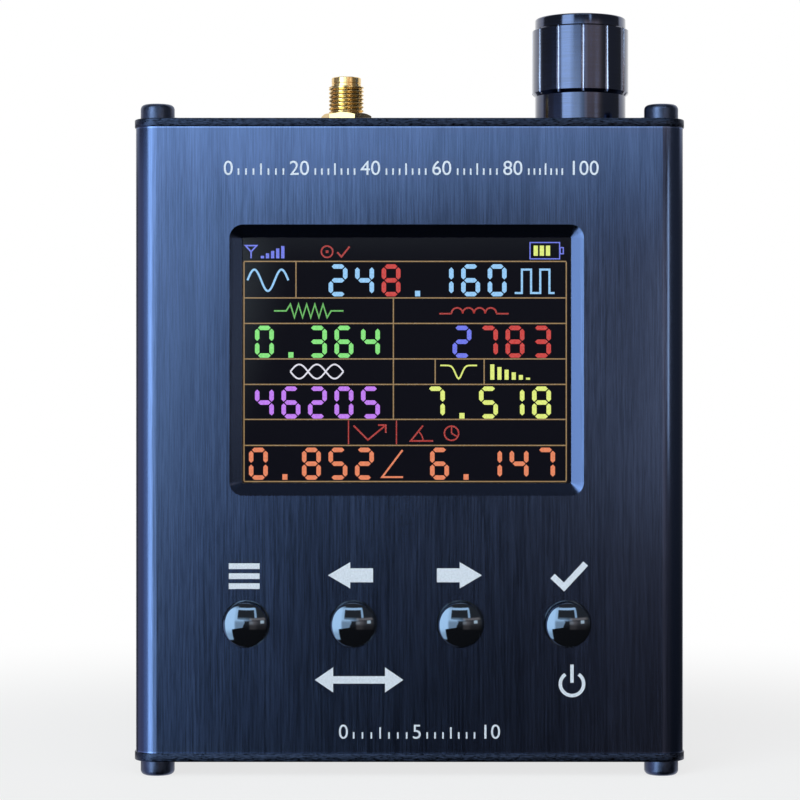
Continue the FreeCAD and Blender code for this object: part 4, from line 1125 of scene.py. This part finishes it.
def room_light(graph, side, lift, z):
    """Everything in the room, over a dark that is deepest low down."""
    left = graph.ramp(lift, *LEFT_TOP)
    glow = graph.math("ADD", window_light(graph, side, lift), strip_light(graph, side, lift))
    lamp = graph.product(graph.band(lift, *LAMP_LIFTS), graph.band(side, *LAMP_SIDES))
    pale = graph.product(graph.band(lift, *PALE_LIFTS), graph.band(side, *PALE_SIDES))
    return graph.added(
        graph.scaled((1.0, 1.0, 1.0), graph.ramp(lift, *DARK)),
        graph.scaled(WINDOW_GLOW, glow),
        graph.scaled(NEAR_LEFT_GLOW, graph.product(left, graph.band(side, *NEAR_LEFT_SIDES))),
        graph.scaled(FAR_LEFT_GLOW, graph.product(left, graph.band(side, *FAR_LEFT_SIDES))),
        wall_light(graph, side, lift),
        graph.scaled(LAMP_GLOW, lamp),
        graph.scaled(PALE_GLOW, pale),
        graph.scaled(CEILING_GLOW, graph.ramp(z, *CEILING_RISE)))


def make_world():
    """A white backdrop, and the room that lights the object.

    The camera sees the backdrop all round. Metal and glass see it behind the object, further forward above
    and below the horizon than at its level, and see the room elsewhere.
    """
    world = bpy.data.worlds.new("studio")
    bpy.context.scene.world = world
    world.use_nodes = True
    graph = Graph(world.node_tree)
    parts = graph.split(graph.node("TexCoord").outputs["Generated"])
    x, y, z = parts["X"], parts["Y"], parts["Z"]
    side = graph.product(graph.math("ARCTAN2", x, graph.product(y, -1.0)), 180 / math.pi)
    lift = graph.product(graph.math("ARCSINE", z), 180 / math.pi)
    above = graph.product(graph.ramp(y, *BEHIND_ABOVE), graph.ramp(lift, *ABOVE_LIFT))
    below = graph.product(graph.ramp(y, *BEHIND_BELOW), graph.ramp(lift, *BELOW_LIFT))
    behind = graph.math("MAXIMUM", graph.ramp(y, *BEHIND_LEVEL), above)
    behind = graph.math("MAXIMUM", behind, below)
    ray = graph.node("LightPath").outputs
    shiny = graph.math("MAXIMUM", ray["Is Glossy Ray"], ray["Is Transmission Ray"])
    backdrop = graph.math("MAXIMUM", ray["Is Camera Ray"], graph.product(shiny, behind))
    colour = graph.node("Mix", data_type="RGBA")
    graph.put(backdrop, colour.inputs[0])
    graph.put(room_light(graph, side, lift, z), colour.inputs[6])
    graph.put(BACKDROP_WHITE, colour.inputs[7])
    graph.put(colour.outputs[2], world.node_tree.nodes["Background"].inputs["Color"])


# ---- lamps and camera ----

LAMP_TARGET = Vector((0, 0, 60 * MM))


def soft_light(name, side, lift, distance, width, height, watts, colour):
    """A soft box for plain surfaces, which shiny ones don't mirror."""
    turn, rise = math.radians(side), math.radians(lift)
    way = Vector((math.sin(turn) * math.cos(rise), -math.cos(turn) * math.cos(rise), math.sin(rise)))
    light = bpy.data.lights.new(name, "AREA")
    light.shape, light.size, light.size_y = "RECTANGLE", width, height
    light.energy, light.color = watts, colour
    lamp = bpy.data.objects.new(name, light)
    lamp.location = LAMP_TARGET + way * distance
    lamp.rotation_euler = (-way).to_track_quat("-Z", "Y").to_euler()
    lamp.visible_glossy = False
    bpy.context.scene.collection.objects.link(lamp)


CAMERA_DISTANCE = 421 * MM
CAMERA_ACROSS = -1.67 * MM
CAMERA_HEIGHT = 66.2 * MM
CLIP_START = 10 * MM
FOCAL_PIXELS = 2400
IMAGE_PIXELS = 800
SENSOR = 36.0


def make_camera():
    """The photograph's view: level, from straight ahead."""
    data = bpy.data.cameras.new("camera")
    data.sensor_width = SENSOR
    data.lens = SENSOR * FOCAL_PIXELS / IMAGE_PIXELS
    data.clip_start = CLIP_START
    camera = bpy.data.objects.new("camera", data)
    camera.location = (CAMERA_ACROSS, front_y - CAMERA_DISTANCE, CAMERA_HEIGHT)
    camera.rotation_euler = (math.pi / 2, 0, 0)
    bpy.context.scene.collection.objects.link(camera)
    bpy.context.scene.camera = camera


make_floor()
make_world()
soft_light("fill_left", side=-25, lift=35, distance=1.0, width=1.0, height=0.8, watts=3.0,
           colour=(1.0, 1.0, 1.0))
soft_light("fill_right", side=35, lift=25, distance=1.0, width=0.8, height=0.8, watts=1.8,
           colour=(1.0, 0.98, 0.96))
make_camera()
bpy.context.scene.view_settings.view_transform = "Standard"
